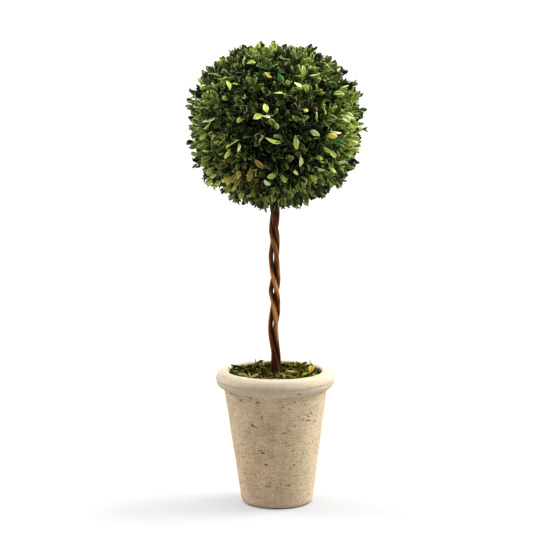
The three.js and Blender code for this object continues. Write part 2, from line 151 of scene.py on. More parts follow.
# Single leaves that stand out at the front: how far across and up from the ball's middle the camera
# sees them (pixels of its picture), the way the tip points (degrees, 0 to the right and 90 up), the
# length that shows (pixels), how far the blade is rolled from face-on (degrees) and the tint
SHOWN_LEAVES = [
    (-10, 19, -70, 8, 10, "lime"),
    (-18, 10, 200, 9, 20, "lime"),
    (-10, 10, -10, 8, 68, "bleached"),
    (-4, 5, 150, 9, 20, "fresh"),
    (0, 1, -60, 8, 10, "fresh"),
    (31, 8, 20, 9, 20, "fresh"),
    (23, -17, -75, 14, 24, "lime"),
    (27, -37, -85, 10, 20, "bleached"),
    (-2, -14, -15, 16, 74, "lime"),
    (3, -12, 170, 9, 45, "fresh"),
    (-37, 6, 200, 7, 30, "lime"),
    (3, 33, -10, 9, 74, "lime"),
    (-19, -18, 230, 7, 10, "vivid"),
    (-14, -14, 50, 9, 72, "lime"),
    (17, -32, 10, 7, 20, "fresh"),
    (25, 41, 0, 8, 72, "lime"),
    (-17, -39, -45, 12, 20, "amber"),
    (41, -7, -30, 9, 20, "bleached"),
    (42, 10, 100, 8, 74, "lime"),
    (33, 39, 100, 8, 20, "lime"),
    (67, 35, 10, 11, 15, "lime"),
    (72, 42, 35, 11, 58, "lime"),
    (75, 19, 80, 9, 20, "fresh"),
    (78, 12, -20, 14, 10, "bleached"),
    (75, 8, -35, 13, 30, "bleached"),
    (60, -11, -5, 12, 10, "yellow"),
    (65, -6, -5, 12, 72, "bleached"),
    (81, -4, 0, 10, 40, "lime"),
    (82, -11, -20, 9, 30, "lime"),
    (83, -17, -15, 9, 35, "bleached"),
    (81, -23, -10, 9, 20, "yellow"),
    (55, -25, -45, 11, 52, "lime"),
    (60, -30, -45, 10, 45, "lime"),
    (48, -34, -55, 11, 40, "lime"),
    (47, -46, -30, 11, 70, "lime"),
    (62, -45, -50, 12, 64, "lime"),
    (42, -57, -50, 10, 25, "lime"),
    (30, -60, -90, 8, 35, "lime"),
    (70, -38, 0, 7, 62, "bleached"),
    (77, -34, -20, 9, 25, "fresh"),
    (67, -17, -20, 14, 15, "vivid"),
    (-84, 5, 180, 13, 5, "fresh"),
    (-82, 8, 165, 11, 20, "fresh"),
    (-81, -3, 170, 6, 15, "bleached"),
    (-71, 8, 195, 15, 75, "bleached"),
    (-71, 1, 235, 12, 72, "lime"),
    (-76, -11, 215, 10, 30, "lime"),
    (-73, -26, 190, 9, 30, "yellow"),
    (-74, -35, 200, 10, 20, "fresh"),
    (-69, -47, 215, 9, 35, "lime"),
    (-50, -59, 240, 9, 20, "yellow"),
    (-54, -57, 225, 8, 40, "yellow"),
    (-39, -51, -90, 7, 25, "lime"),
    (-45, -56, 250, 10, 25, "amber"),
    (-41, -61, 235, 10, 35, "amber"),
    (-27, -52, -100, 14, 15, "amber"),
    (-53, 29, 160, 6, 25, "lime"),
    (-46, -18, 200, 15, 74, "lime"),
    (-40, -23, -100, 8, 72, "bleached"),
    (-36, -74, -110, 9, 20, "lime"),
    (-51, -29, 240, 11, 35, "lime"),
    (-20, 82, 80, 9, 20, "lime"),
    (-11, 79, 75, 9, 20, "lime"),
    (-6, 80, 60, 8, 40, "lime"),
    (-13, 73, 100, 8, 40, "lime"),
    (-7, 53, -20, 9, 15, "yellow"),
    (5, 49, -60, 10, 15, "vivid"),
    (-26, 66, 20, 8, 40, "lime"),
    (-34, 69, 95, 9, 72, "bleached"),
    (-75, 41, 190, 8, 30, "lime"),
    (-47, 42, -60, 8, 40, "lime"),
    (30, 58, 80, 12, 45, "lime"),
    (35, 60, 70, 11, 70, "lime"),
    (32, 76, 90, 11, 15, "fresh"),
    (52, 62, 68, 12, 70, "lime"),
    (41, 53, 0, 10, 72, "bleached"),
    (68, 52, 60, 12, 15, "olive"),
    (59, 44, -20, 12, 20, "vivid"),
    (14, 47, 90, 8, 40, "lime"),
    (23, 42, -45, 9, 68, "bleached"),
    (-3, -53, 200, 10, 20, "lime"),
    (9, -55, -60, 9, 35, "lime"),
    (-8, -60, 150, 6, 35, "bleached"),
    (31, -59, -60, 8, 40, "lime"),
    (40, -56, -30, 9, 40, "lime"),
    (22, -48, 110, 7, 55, "bleached"),
]


# Settings


def length_setting(name, description, default):
    return FloatProperty(name=name, description=description, default=default, unit="LENGTH")


def count_setting(name, description, default):
    return IntProperty(name=name, description=description, default=default)


def colour_setting(name, description, default):
    return FloatVectorProperty(name=name, description=description, default=default, subtype="COLOR")


def light_setting(name, light, default):
    description = f"Strength of the {light}, in watts for each square metre"
    return FloatProperty(name=name, description=description, default=default)


class StageSettings(bpy.types.PropertyGroup):
    """Lights and floor of the studio"""

    floor_radius: length_setting("Floor radius", "Radius of the pale floor", 30)
    surround: FloatProperty(
        name="Surround",
        description="Strength of the even light from all round",
        default=0.20,
        subtype="FACTOR",
    )
    left_sun: light_setting("Left light", "soft light behind on the left", 3.8)
    right_sun: light_setting("Right light", "soft light behind on the right", 6.0)
    top_sun: light_setting("Top light", "soft light above", 6.0)
    front_sun: light_setting("Front light", "weak light beside the camera", 0.35)


class PotSettings(bpy.types.PropertyGroup):
    """Sizes and colours of the pot"""

    foot_radius: length_setting("Foot radius", "Radius of the flat underside", 43.6 * MM)
    foot_rounding: length_setting("Foot rounding", "Radius of the round corner at the foot", 8.7 * MM)
    rim_round: length_setting("Rim rounding", "Radius of the rolled rim's round section", 13 * MM)
    lip_radius: length_setting("Lip radius", "Radius of the mouth under the rim's rounding", 66.5 * MM)
    lip_rounding: length_setting("Lip rounding", "Radius of the rim's inner rounding", 5 * MM)
    inside_foot_radius: length_setting("Inside foot radius", "Radius of the hollow at its floor", 42 * MM)
    floor_height: length_setting("Floor height", "Thickness of the pot's floor", 14 * MM)
    sides: count_setting("Sides", "Number of faces round the pot", 264)
    pits: count_setting("Pits", "Number of small pits in the wall", 400)
    clay: colour_setting("Clay", "Main colour of the clay", (0.590, 0.410, 0.250))
    pale_clay: colour_setting("Pale clay", "Colour of the chalky bloom", (0.630, 0.505, 0.362))
    ochre_clay: colour_setting("Ochre clay", "Colour of the yellower patches", (0.540, 0.382, 0.198))
    brown_clay: colour_setting("Brown clay", "Colour of the dark lines and streaks", (0.255, 0.158, 0.088))
    rim_clay: colour_setting("Rim clay", "Colour of the smooth rim", (0.436, 0.378, 0.297))
    sage_clay: colour_setting("Sage clay", "Colour of the weathered patches", (0.450, 0.405, 0.272))
    pit_shade: colour_setting("Pit shade", "Colour inside the pits", (0.135, 0.082, 0.045))


class MossSettings(bpy.types.PropertyGroup):
    """Sizes and counts of the moss and the dry leaves on it"""

    radius: length_setting("Radius", "Radius of the moss at the pot's mouth", 66 * MM)
    middle_height: length_setting("Middle height", "Height of the moss round the stem", 190.5 * MM)
    edge_height: length_setting("Edge height", "Height of the moss at the rim", 188.6 * MM)
    tufts: count_setting("Moss blades", "Number of small blades that the moss is made of", 5200)
    leaves: count_setting("Dry leaves", "Number of leaves that lie on the moss", 300)


class CaneSettings(bpy.types.PropertyGroup):
    """Sizes and colours of the three twisted canes"""

    foot_radius: length_setting("Foot radius", "Radius of a cane at its foot", 3.45 * MM)
    tip_radius: length_setting("Tip radius", "Radius of a cane at its tip", 3.30 * MM)
    sides: count_setting("Sides", "Number of faces round a cane", 22)
    rings: count_setting("Rings", "Number of rings along a cane", 380)
    # Dark bark is also the painted shade in the grooves between the canes and at their foot
    dark_bark_and_shade: colour_setting("Dark bark", "Colour of the bark's dark streaks", (0.040, 0.0090, 0.0025))
    bark: colour_setting("Bark", "Main colour of the bark", (0.190, 0.062, 0.016))
    # Pale bark is also the painted highlight on the canes' outward faces
    pale_bark_and_highlight: colour_setting("Pale bark", "Colour where the bark is rubbed thin", (0.640, 0.305, 0.082))


class BallSettings(bpy.types.PropertyGroup):
    """Sizes and counts of the ball's sprigs and leaves"""

    half_width: length_setting("Half width", "Half the width of the clipped outline", 127.5 * MM)
    half_height: length_setting("Half height", "Half the height of the clipped outline", 119.5 * MM)
    height: length_setting("Height", "Height of the ball's middle", 545.2 * MM)
    sprigs: count_setting("Sprigs", "Number of sprigs that stand out of the core", 860)
    leaf_length: length_setting("Leaf length", "Length of a full-grown leaf", 17.5 * MM)
    leaf_width: length_setting("Leaf width", "Width of a full-grown leaf", 10.5 * MM)
    seed: count_setting("Seed", "Starts the repeatable chances of the ball", 1204)


SETTINGS = {
    "topiary_stage": StageSettings,
    "topiary_pot": PotSettings,
    "topiary_moss": MossSettings,
    "topiary_canes": CaneSettings,
    "topiary_ball": BallSettings,
}


def lerp(start, end, share):
    return start + (end - start) * share


def clamp(value, low=0.0, high=1.0):
    return max(low, min(high, value))


def drawn(shares, rng):
    """One of the keys of a table of shares, drawn by chance."""
    return rng.choices(list(shares), list(shares.values()))[0]


def hump(distance, reach):
    """A smooth hump: 1 at no distance, about a third at its reach."""
    off = distance / reach
    return math.exp(-off * off)


def waves(x, y, z, scale):
    """Smooth noise between about -1 and 1, with features of 1/scale metres."""
    return noise.noise(Vector((x, y, z)) * scale)


# Finishes

# Places of the colour sockets in a Mix node
MIX_FACTOR, MIX_FIRST, MIX_SECOND, MIX_RESULT = 0, 6, 7, 2


def add_node(tree, kind, inputs=None, **settings):
    """A node with its settings, whose inputs are numbers, colours or other nodes' outputs."""
    made = tree.nodes.new(kind)
    for name, value in settings.items():
        setattr(made, name, value)
    for key, value in (inputs or {}).items():
        feed(tree, made.inputs[key], value)
    return made


def feed(tree, socket, value):
    """Gives an input a number, a colour or another node's output."""
    if isinstance(value, bpy.types.NodeSocket):
        tree.links.new(value, socket)
    elif socket.type == "RGBA":
        socket.default_value = (*value, 1)
    else:
        socket.default_value = value


class Finish:
    """A material with one colour, or with layers of colour that follow the piece's own coordinates."""

    def __init__(self, name, colour, roughness, specular=0.5):
        self.material = bpy.data.materials.new(name)
        self.material.use_nodes = True
        self.tree = self.material.node_tree
        self.shader = self.tree.nodes["Principled BSDF"]
        self.colour = colour
        self.give("Base Color", colour)
        self.give("Roughness", roughness)
        self.give("Specular IOR Level", specular)

    @functools.cached_property
    def place(self):
        return self.node("ShaderNodeTexCoord").outputs["Object"]

    def give(self, name, value):
        feed(self.tree, self.shader.inputs[name], value)

    def node(self, kind, inputs=None, **settings):
        return add_node(self.tree, kind, inputs, **settings)

    def attribute(self, name, output):
        return self.node("ShaderNodeAttribute", attribute_name=name).outputs[output]

    def along(self, axis):
        return self.node("ShaderNodeSeparateXYZ", {"Vector": self.place}).outputs[axis]

    def math(self, operation, first, second=0):
        return self.node("ShaderNodeMath", {0: first, 1: second}, operation=operation).outputs["Value"]

    def ranged(self, value, low, high, way="SMOOTHSTEP"):
        """A value turned into a share: 0 at low, 1 at high."""
        inputs = {"Value": value, "From Min": low, "From Max": high}
        return self.node("ShaderNodeMapRange", inputs, interpolation_type=way).outputs["Result"]

    def noise(self, scale, low, high, detail=4, upright=1, roughness=0.55):
        """Noise as a share, 0 below low and 1 above high, drawn out along Z where upright is under 1."""
        stretched = self.node("ShaderNodeMapping", {"Vector": self.place, "Scale": (1, 1, upright)})
        cloud = {
            "Vector": stretched.outputs["Vector"],
            "Scale": scale,
            "Detail": detail,
            "Roughness": roughness,
        }
        return self.ranged(self.node("ShaderNodeTexNoise", cloud).outputs["Fac"], low, high)

    def lay(self, share, strength, colour):
        """Lays a colour over those so far, as strongly as a share and a strength say."""
        amount = self.math("MULTIPLY", share, strength)
        inputs = {MIX_FACTOR: amount, MIX_FIRST: self.colour, MIX_SECOND: colour}
        self.colour = self.node("ShaderNodeMix", inputs, data_type="RGBA").outputs[MIX_RESULT]
        self.give("Base Color", self.colour)

    def bump(self, height, distance, strength=1.0):
        inputs = {"Height": height, "Distance": distance, "Strength": strength}
        self.give("Normal", self.node("ShaderNodeBump", inputs).outputs["Normal"])


# Meshes and pieces


def mesh_from(bm, name):
    mesh = bpy.data.meshes.new(name)
    bm.to_mesh(mesh)
    bm.free()
    return mesh


def dress(mesh, materials, node, sharp_degrees=45):
    """Puts a finished mesh in the scene, under its own name, as a piece that stands for a CAD node."""
    for material in materials:
        mesh.materials.append(material)
    mesh.polygons.foreach_set("use_smooth", np.ones(len(mesh.polygons), bool))
    mesh.set_sharp_from_angle(angle=math.radians(sharp_degrees))
    mesh.update()
    piece = bpy.data.objects.new(mesh.name, mesh)
    bpy.context.scene.collection.objects.link(piece)
    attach(piece, BODY)
    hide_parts(node)


def spun(profile, sides):
    """A profile of (radius, height) points turned full round the Z axis, closed at its poles."""
    bm = bmesh.new()
    verts = [bm.verts.new((radius, 0, height)) for radius, height in profile]
    edges = [bm.edges.new(pair) for pair in zip(verts, verts[1:])]
    bmesh.ops.spin(
        bm,
        geom=verts + edges,
        cent=(0, 0, 0),
        axis=UP,
        angle=FULL_TURN,
        steps=sides,
        use_merge=True,
    )
    bmesh.ops.remove_doubles(bm, verts=bm.verts, dist=0.001 * MM)
    bmesh.ops.recalc_face_normals(bm, faces=bm.faces)
    return bm


def arc(centre_radius, centre_height, radius, from_degrees, to_degrees, steps):
    """Points on a round stretch of a profile."""
    points = []
    for step in range(steps + 1):
        angle = math.radians(lerp(from_degrees, to_degrees, step / steps))
        points.append((centre_radius + radius * math.cos(angle), centre_height + radius * math.sin(angle)))
    return points


def fine_stretch(start, end, step):
    """Points on a straight stretch of a profile, without its two ends."""
    count = max(1, round(math.dist(start, end) / step))
    return [
        (lerp(start[0], end[0], i / count), lerp(start[1], end[1], i / count))
        for i in range(1, count)
    ]


def rod(sides, tip_radius):
    """A rod one unit long along Y, with a foot of one unit's radius and a smaller tip."""
    bm = bmesh.new()
    lying = Matrix.Rotation(math.radians(-90), 4, "X") @ Matrix.Translation((0, 0, 0.5))
    bmesh.ops.create_cone(
        bm,
        cap_ends=True,
        segments=sides,
        radius1=1,
        radius2=tip_radius,
        depth=1,
        matrix=lying,
    )
    return bm


class Prototype:
    """A small shape as arrays, ready to be copied many times into one mesh."""

    def __init__(self, bm):
        bmesh.ops.triangulate(bm, faces=bm.faces)
        bm.verts.index_update()
        self.places = np.array([vert.co[:] for vert in bm.verts])
        self.corners = np.array([[vert.index for vert in face.verts] for face in bm.faces])
        self.slots = np.array([face.material_index for face in bm.faces])
        bm.free()


# Radius of a twig's tip beside that of its foot
TWIG_TIP_SHARE = 0.66


def twig_prototype():
    """A four-sided twig that tapers by a third."""
    return Prototype(rod(4, TWIG_TIP_SHARE))


def joined_copies(name, prototypes, rows):
    """One mesh with a copy of a prototype for each row: its root, its frame (3 by 3) and its kind."""
    roots = np.array([root[:] for root, _, _ in rows])
    frames = np.array([[line[:] for line in turned] for _, turned, _ in rows])
    kinds = np.array([kind for _, _, kind in rows])
    places, corners, slots = [], [], []
    base = 0
    for kind, prototype in enumerate(prototypes):
        chosen = np.flatnonzero(kinds == kind)
        if not len(chosen):
            continue
        copies = np.einsum("cij,vj->cvi", frames[chosen], prototype.places) + roots[chosen, None, :]
        each = len(prototype.places)
        starts = base + np.arange(len(chosen))[:, None, None] * each
        places.append(copies.reshape(-1, 3))
        corners.append((prototype.corners[None] + starts).reshape(-1, 3))
        slots.append(np.tile(prototype.slots, len(chosen)))
        base += each * len(chosen)
    places, corners, slots = map(np.concatenate, (places, corners, slots))
    mesh = bpy.data.meshes.new(name)
    mesh.vertices.add(len(places))
    mesh.vertices.foreach_set("co", places.astype(np.float32).ravel())
    mesh.loops.add(len(corners) * 3)
    mesh.loops.foreach_set("vertex_index", corners.astype(np.int32).ravel())
    mesh.polygons.add(len(corners))
    mesh.polygons.foreach_set("loop_start", np.arange(0, len(corners) * 3, 3, dtype=np.int32))
    mesh.polygons.foreach_set("material_index", slots.astype(np.int32))
    mesh.update(calc_edges=True)
    mesh.validate()
    return mesh


# Directions


def across_from(direction):
    """Two directions square to one direction and to each other."""
    helper = UP if abs(direction.z) < 0.9 else Vector((1, 0, 0))
    first = helper.cross(direction).normalized()
    return first, direction.cross(first).normalized()


def leant(direction, turn, lean):
    """One direction leant away from another, towards a turn about it."""
    first, second = across_from(direction)
    sideways = first * math.cos(turn) + second * math.sin(turn)
    return (direction * math.cos(lean) + sideways * math.sin(lean)).normalized()


def pointing(heading, rise):
    """The direction with a heading round the upright and a rise above the level."""
    level = math.cos(rise)
    return Vector((math.cos(heading) * level, math.sin(heading) * level, math.sin(rise)))


def even_direction(index, count):
    """One of the even directions round a ball, on a golden-angle spiral."""
    z = 1 - (2 * index + 1) / count
    level = math.sqrt(1 - z * z)
    turn = index * GOLDEN_ANGLE
    return Vector((level * math.cos(turn), level * math.sin(turn), z))


def placing(along, facing, roll, length, width, thickness):
    """How a prototype lies: its width, length and upper face as the columns of a matrix."""
    side = along.cross(facing).normalized()
    up = side.cross(along).normalized()
    turned = Quaternion(along, roll)
    side.rotate(turned)
    up.rotate(turned)
    return Matrix((side * width, along * length, up * thickness)).transposed()


# Leaves

# Shares of a leaf's length where its rows lie, and of its half width where its rim begins
LEAF_ROWS = (0, 0.30, 0.62, 0.86, 0.95, 0.985)
LEAF_RIM_SHARE = 0.84
LEAF_RIM_TURN_DEGREES = 58
LEAF_MIDDLE_POWER = 1.35
LEAF_ROUNDNESS = 0.60
LEAF_THICKNESS = 0.035
LEAF_TIP_DROP = 0.05
UPPER, UNDER, RIM = range(3)

# Leaf shapes: fold (degrees), arch and twist (degrees)
LEAF_SHAPES = [
    (26, 0.15, 0),
    (42, 0.40, 16),
    (-24, 0.10, -12),
    (34, -0.30, -26),
    (-12, 0.45, 30),
    (56, 0.25, 20),
]


def leaf_half_width(share):
    """Half width of a spoon-shaped blade, widest past its middle."""
    return math.sin(math.pi * clamp(share) ** LEAF_MIDDLE_POWER) ** LEAF_ROUNDNESS / 2


def leaf_point(across, row, raised, fold, arch, twist):
    """A place on a folded, arched and twisted blade, one unit long, with its heights in widths."""
    share = LEAF_ROWS[row]
    half = leaf_half_width(share)
    blade = min(abs(across), LEAF_RIM_SHARE) * half
    rim = max(0, abs(across) - LEAF_RIM_SHARE) * half
    rim_fold = fold - math.radians(LEAF_RIM_TURN_DEGREES)
    x = math.copysign(blade * math.cos(fold) + rim * math.cos(rim_fold), across)
    z = blade * math.sin(fold) + rim * math.sin(rim_fold) - arch * share * share
    last = len(LEAF_ROWS) - 1
    if abs(across) < 1 and 0 < row < last:
        z += raised
    if row == last:
        z -= LEAF_TIP_DROP
    y = 1 if row == last and across == 0 else share
    angle = twist * share
    return x * math.cos(angle) - z * math.sin(angle), y, z * math.cos(angle) + x * math.sin(angle)


def leaf_prototype(fold_degrees, arch, twist_degrees):
    """A closed blade with an upper face, an underside and a rim that is rolled back."""
    bm = bmesh.new()
    fold, twist = math.radians(fold_degrees), math.radians(twist_degrees)
    for columns, side in ((4, UPPER), (2, UNDER)):
        segments = len(LEAF_ROWS) - 1
        verts = bmesh.ops.create_grid(bm, x_segments=columns, y_segments=segments, size=1)["verts"]
        faces = [face for face in bm.faces if face.verts[0] in verts]
        for face in faces:
            middle = face.calc_center_median()
            outer = side == UPPER and (abs(middle.x) > 0.5 or middle.y > 1 - 2 / segments)
            face.material_index = RIM if outer else side
        if side == UNDER:
            bmesh.ops.reverse_faces(bm, faces=faces)
        raised = LEAF_THICKNESS if side == UPPER else -LEAF_THICKNESS
        for vert in verts:
            across = round(vert.co.x * columns / 2) / (columns / 2)
            if 0 < abs(across) < 1:
                across = math.copysign(LEAF_RIM_SHARE, across)
            row = round((vert.co.y + 1) / 2 * segments)
            vert.co = leaf_point(across, row, raised, fold, arch, twist)
    bmesh.ops.remove_doubles(bm, verts=bm.verts, dist=0.0001)
    return Prototype(bm)


class LeafBasket:
    """Leaves gathered one by one, then joined into one piece for each tint."""

    def __init__(self):
        self.rows = {tint: [] for tint in LEAF_TINTS}

    def add(self, root, leaf, kind, tint):
        self.rows[tint].append((root, leaf, kind))

    def join(self, name, slot, node, roughness, specular, fade=(1, 1, 1)):
        prototypes = [leaf_prototype(*shape) for shape in LEAF_SHAPES]
        sides = [("upper", roughness, specular), ("under", 0.65, specular / 2), ("rim", 0.65, specular / 2)]
        for tint, rows in self.rows.items():
            if not rows:
                continue
            mesh = joined_copies(f"{name}_{tint}", prototypes, rows)
            faces = []
            for (side, *gloss), colour in zip(sides, LEAF_TINTS[tint]):
                faded = tuple(map(operator.mul, colour, fade))
                faces.append(Finish(f"{name}_{tint}_{side}", faded, *gloss).material)
            dress(mesh, faces, node, sharp_degrees=60)


# Pot

POT_STEP = 1.7 * MM
INSIDE_STEP = 24 * MM
FOOT_STEPS = 6
RIM_UNDERSIDE_DEGREES = -82
RIM_STEPS = 28
LIP_STEPS = 8
CREASE_HEIGHT = 179.5 * MM
CREASE_REACH = 1.5 * MM
CREASE_DEPTH = 0.8 * MM
CREASE_RADIUS = 80 * MM
PIT_SEED = 41
PIT_GROUP_CHANCE = 0.66
PIT_LEVEL_CHANCE = 0.85
PIT_JOIN_CHANCE = 0.6
RIM_BARE_CHANCE = 0.3
PIT_INSET = 0.20 * MM
PIT_DEPTH = 0.8 * MM
PIT_SHIFT_ROUND_MM = 0.45
PIT_SHIFT_UP_MM = 0.5

# Where pits may lie: above the foot, and on faces turned this far outwards
PIT_LOWEST = 3 * MM
PIT_FACING = 0.4

# How far apart in height pits of one level group are
PIT_LEVEL_GAP = 0.8 * MM

# Heights of the wall's slow swells, ripples and turning lines, all above the flat foot
WALL_SWELL = 0.45 * MM
WALL_RIPPLE = 0.18 * MM
TURNING_LINE = 0.10 * MM
FLAT_FOOT = 0.5 * MM

# Sideways place of a strip down the pot's front and back, and how far from it the sage tone begins and is
# full
FRONT_STRIP_ASIDE = -14 * MM
SAGE_FROM = 18 * MM
SAGE_FULL = 66 * MM


def clay_material(pot):
    """Cream clay with a chalky rim, ochre patches, fine turning lines, streaks and brown pits."""
    clay = Finish("pitted_clay", pot.clay, 0.9, 0.2)
    height = clay.along("Z")
    off_front_strip = clay.math("ABSOLUTE", clay.math("ADD", clay.along("X"), -FRONT_STRIP_ASIDE))
    rim_low, rim_full = (POT_HIGH.z - share * pot.rim_round for share in (2.0, 1.5))
    rim_top = POT_HIGH.z - 0.8 * pot.rim_round
    fine_lines = clay.noise(170, 0.50, 0.66, upright=8)
    grain = clay.noise(620, 0.42, 0.62, 3)
    speckle = clay.noise(300, 0.60, 0.68, 3, upright=1.7)
    layers = [
        (clay.noise(24, 0.42, 0.70), 0.70, pot.ochre_clay),
        (clay.noise(75, 0.46, 0.68, 6, upright=1.6, roughness=0.62), 0.70, pot.pale_clay),
        (clay.noise(130, 0.44, 0.70, upright=0.14), 0.38, pot.brown_clay),
        (clay.noise(42, 0.48, 0.68, 5, upright=0.8), 0.36, pot.brown_clay),
        # A sage tone that grows away from the strip, towards the pot's sides
        (clay.ranged(off_front_strip, SAGE_FROM, SAGE_FULL), 0.55, pot.sage_clay),
        (clay.noise(15, 0.40, 0.60, 3, upright=0.4), 0.12, pot.sage_clay),
        (clay.noise(60, 0.46, 0.66, 5, upright=9), 0.52, pot.brown_clay),
        (fine_lines, 0.62, pot.brown_clay),
        (grain, 0.60, pot.pale_clay),
        (speckle, 0.58, pot.pit_shade),
        (clay.ranged(height, rim_low, rim_full, "LINEAR"), 0.68, pot.rim_clay),
        (clay.ranged(height, rim_top, POT_HIGH.z), 0.80, pot.rim_clay),
        (clay.noise(80, 0.46, 0.66, 5, upright=1.4), 0.24, pot.sage_clay),
        (clay.attribute("pit", "Fac"), 1, pot.pit_shade),
    ]
    for layer in layers:
        clay.lay(*layer)
    relief = clay.math("ADD", clay.math("MULTIPLY", fine_lines, -0.8), grain)
    clay.bump(clay.math("SUBTRACT", relief, speckle), 0.3 * MM, 0.8)
    return clay.material


def filling_material():
    """Pale grey-brown foam with coarse grains."""
    foam = Finish("dry_filling", (0.07, 0.055, 0.04), 0.95)
    grains = foam.noise(300, 0.40, 0.62)
    foam.lay(grains, 1, (0.20, 0.16, 0.12))
    foam.bump(grains, 0.6 * MM)
    return foam.material


def pot_side(height):
    """Sideways place of the pot's axis, which leans from the foot's middle to the rim's."""
    return RIM_ASIDE * min(1, height / POT_HIGH.z)


def lean_with_pot(bm):
    """Leans a piece that was made upright along the pot's axis."""
    for vert in bm.verts:
        vert.co.x += pot_side(vert.co.z)


def pot_profile(pot):
    """Outline of the pot's wall from the middle of its underside to the middle of its floor."""
    foot = arc(pot.foot_radius, pot.foot_rounding, pot.foot_rounding, -90, 0, FOOT_STEPS)
    rim_centre = (POT_HIGH.y - pot.rim_round, POT_HIGH.z - pot.rim_round)
    rim = arc(*rim_centre, pot.rim_round, RIM_UNDERSIDE_DEGREES, 90, RIM_STEPS)
    lip_centre = (pot.lip_radius + pot.lip_rounding, POT_HIGH.z - pot.lip_rounding)
    lip = arc(*lip_centre, pot.lip_rounding, 90, 180, LIP_STEPS)
    floor = (pot.inside_foot_radius, pot.floor_height)
    return [
        (0, 0),
        (pot.foot_radius * 0.5, 0),
        *foot,
        *fine_stretch(foot[-1], rim[0], POT_STEP),
        *rim,
        *lip,
        *fine_stretch(lip[-1], floor, INSIDE_STEP),
        floor,
        (0, pot.floor_height),
    ]


def roughen_pot(bm, pot):
    """Hand-made unevenness: slow swells, fine turning lines and a crease under the rim's roll."""
    for vert in bm.verts:
        x, y, z = vert.co
        radius = math.hypot(x, y)
        inside = radius < pot.lip_radius + 1 * MM and vert.normal.xy.dot(vert.co.xy) < 0
        if inside or z < FLAT_FOOT:
            continue
        swell = WALL_SWELL * waves(x, y, z, 28) + WALL_RIPPLE * waves(x, y, z, 120)
        lines = TURNING_LINE * waves(x * 0.3, y * 0.3, z * 3, 160)
        crease = CREASE_DEPTH * hump(z - CREASE_HEIGHT, CREASE_REACH) if radius > CREASE_RADIUS else 0
        vert.co += vert.normal * (swell + lines - crease * (1 + waves(x, y, z, 30)))


def place_order(place):
    """Orders places of the wall by height and then round it, whatever order Blender keeps them in."""
    return round(place.z / MM, 2), round(math.atan2(place.y, place.x), 4)


def face_order(face):
    return place_order(face.calc_center_median())


def takes_pits(face, pot):
    """True for a face on the outside of the wall or the rim."""
    middle = face.calc_center_median()
    outwards = Vector((*middle.xy, 0)).normalized()
    between = PIT_LOWEST < middle.z < POT_HIGH.z - pot.rim_round * 0.3
    outside = middle.xy.length > pot.foot_radius + 2 * MM
    return between and outside and face.normal.dot(outwards) > PIT_FACING


def choose_pits(bm, pot, rng):
    """Faces that become pits: single ones, and small groups that mostly lie level."""
    outer = sorted((face for face in bm.faces if takes_pits(face, pot)), key=face_order)
    chosen = set()
    while len(chosen) < pot.pits:
        face = rng.choice(outer)
        height = face.calc_center_median().z
        if height > POT_HIGH.z - 3 * pot.rim_round and rng.random() < RIM_BARE_CHANCE:
            continue
        chosen.add(face)
        while rng.random() < PIT_GROUP_CHANCE:
            beside = [other for edge in face.edges for other in edge.link_faces if other is not face]
            beside.sort(key=face_order)
            level = [near for near in beside if abs(near.calc_center_median().z - height) < PIT_LEVEL_GAP]
            face = rng.choice(level if level and rng.random() < PIT_LEVEL_CHANCE else beside)
            if rng.random() < PIT_JOIN_CHANCE:
                chosen.add(face)
    return sorted(chosen, key=face_order)


def press_pits(bm, pot):
    """Presses small pits into the outer wall, and marks them for the clay's colour."""
    rng = random.Random(PIT_SEED)
    pits = choose_pits(bm, pot, rng)
    corners = {vert for face in pits for vert in face.verts}
    for vert in sorted(corners, key=lambda vert: place_order(vert.co)):
        around = Vector((-vert.co.y, vert.co.x, 0)).normalized()
        vert.co += around * (rng.uniform(-PIT_SHIFT_ROUND_MM, PIT_SHIFT_ROUND_MM) * MM)
        vert.co.z += rng.uniform(-PIT_SHIFT_UP_MM, PIT_SHIFT_UP_MM) * MM
    bmesh.ops.inset_region(bm, faces=pits, thickness=PIT_INSET, depth=-PIT_DEPTH, use_even_offset=True)
    marks = bm.verts.layers.float.new("pit")
    for face in pits:
        for vert in face.verts:
            vert[marks] = 1


class TOPIARY_OT_pot(bpy.types.Operator):
    """Turns the clay pot and presses its pits"""

    bl_idname = "topiary.pot"
    bl_label = "Clay Pot"

    def execute(self, context):
        pot = context.scene.topiary_pot
        bm = spun(pot_profile(pot), pot.sides)
        bm.normal_update()
        roughen_pot(bm, pot)
        bm.normal_update()
        press_pits(bm, pot)
        lean_with_pot(bm)
        dress(mesh_from(bm, "clay_pot"), [clay_material(pot)], "pot", sharp_degrees=50)
        return {"FINISHED"}


class TOPIARY_OT_filling(bpy.types.Operator):
    """Gives the filling under the moss its foam look"""

    bl_idname = "topiary.filling"
    bl_label = "Filling"

    def execute(self, context):
        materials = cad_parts["pot_filling"].data.materials
        materials.clear()
        materials.append(filling_material())
        return {"FINISHED"}


# Moss and dry leaves

MOSS_SIDES = 128
MOSS_RINGS = 30
MOSS_BUMP = 1.3 * MM
MOSS_CRUMBLE = 1.6 * MM
MOSS_SINK = 1.2 * MM
MOSS_WAVE_ACROSS = 7.5 * MM
MOSS_WAVE_DEEP = 6.5 * MM
EDGE_REACH = 8 * MM
MOSS_SEED = 7
BLADE_SINK = 1.5 * MM
BLADE_OVERHANG = 3.5 * MM
BLADE_LEANS_DEGREES = (15, 80)
BLADE_LENGTHS_MM = (1.5, 4.2)
BLADE_RADII_MM = (0.22, 0.42)

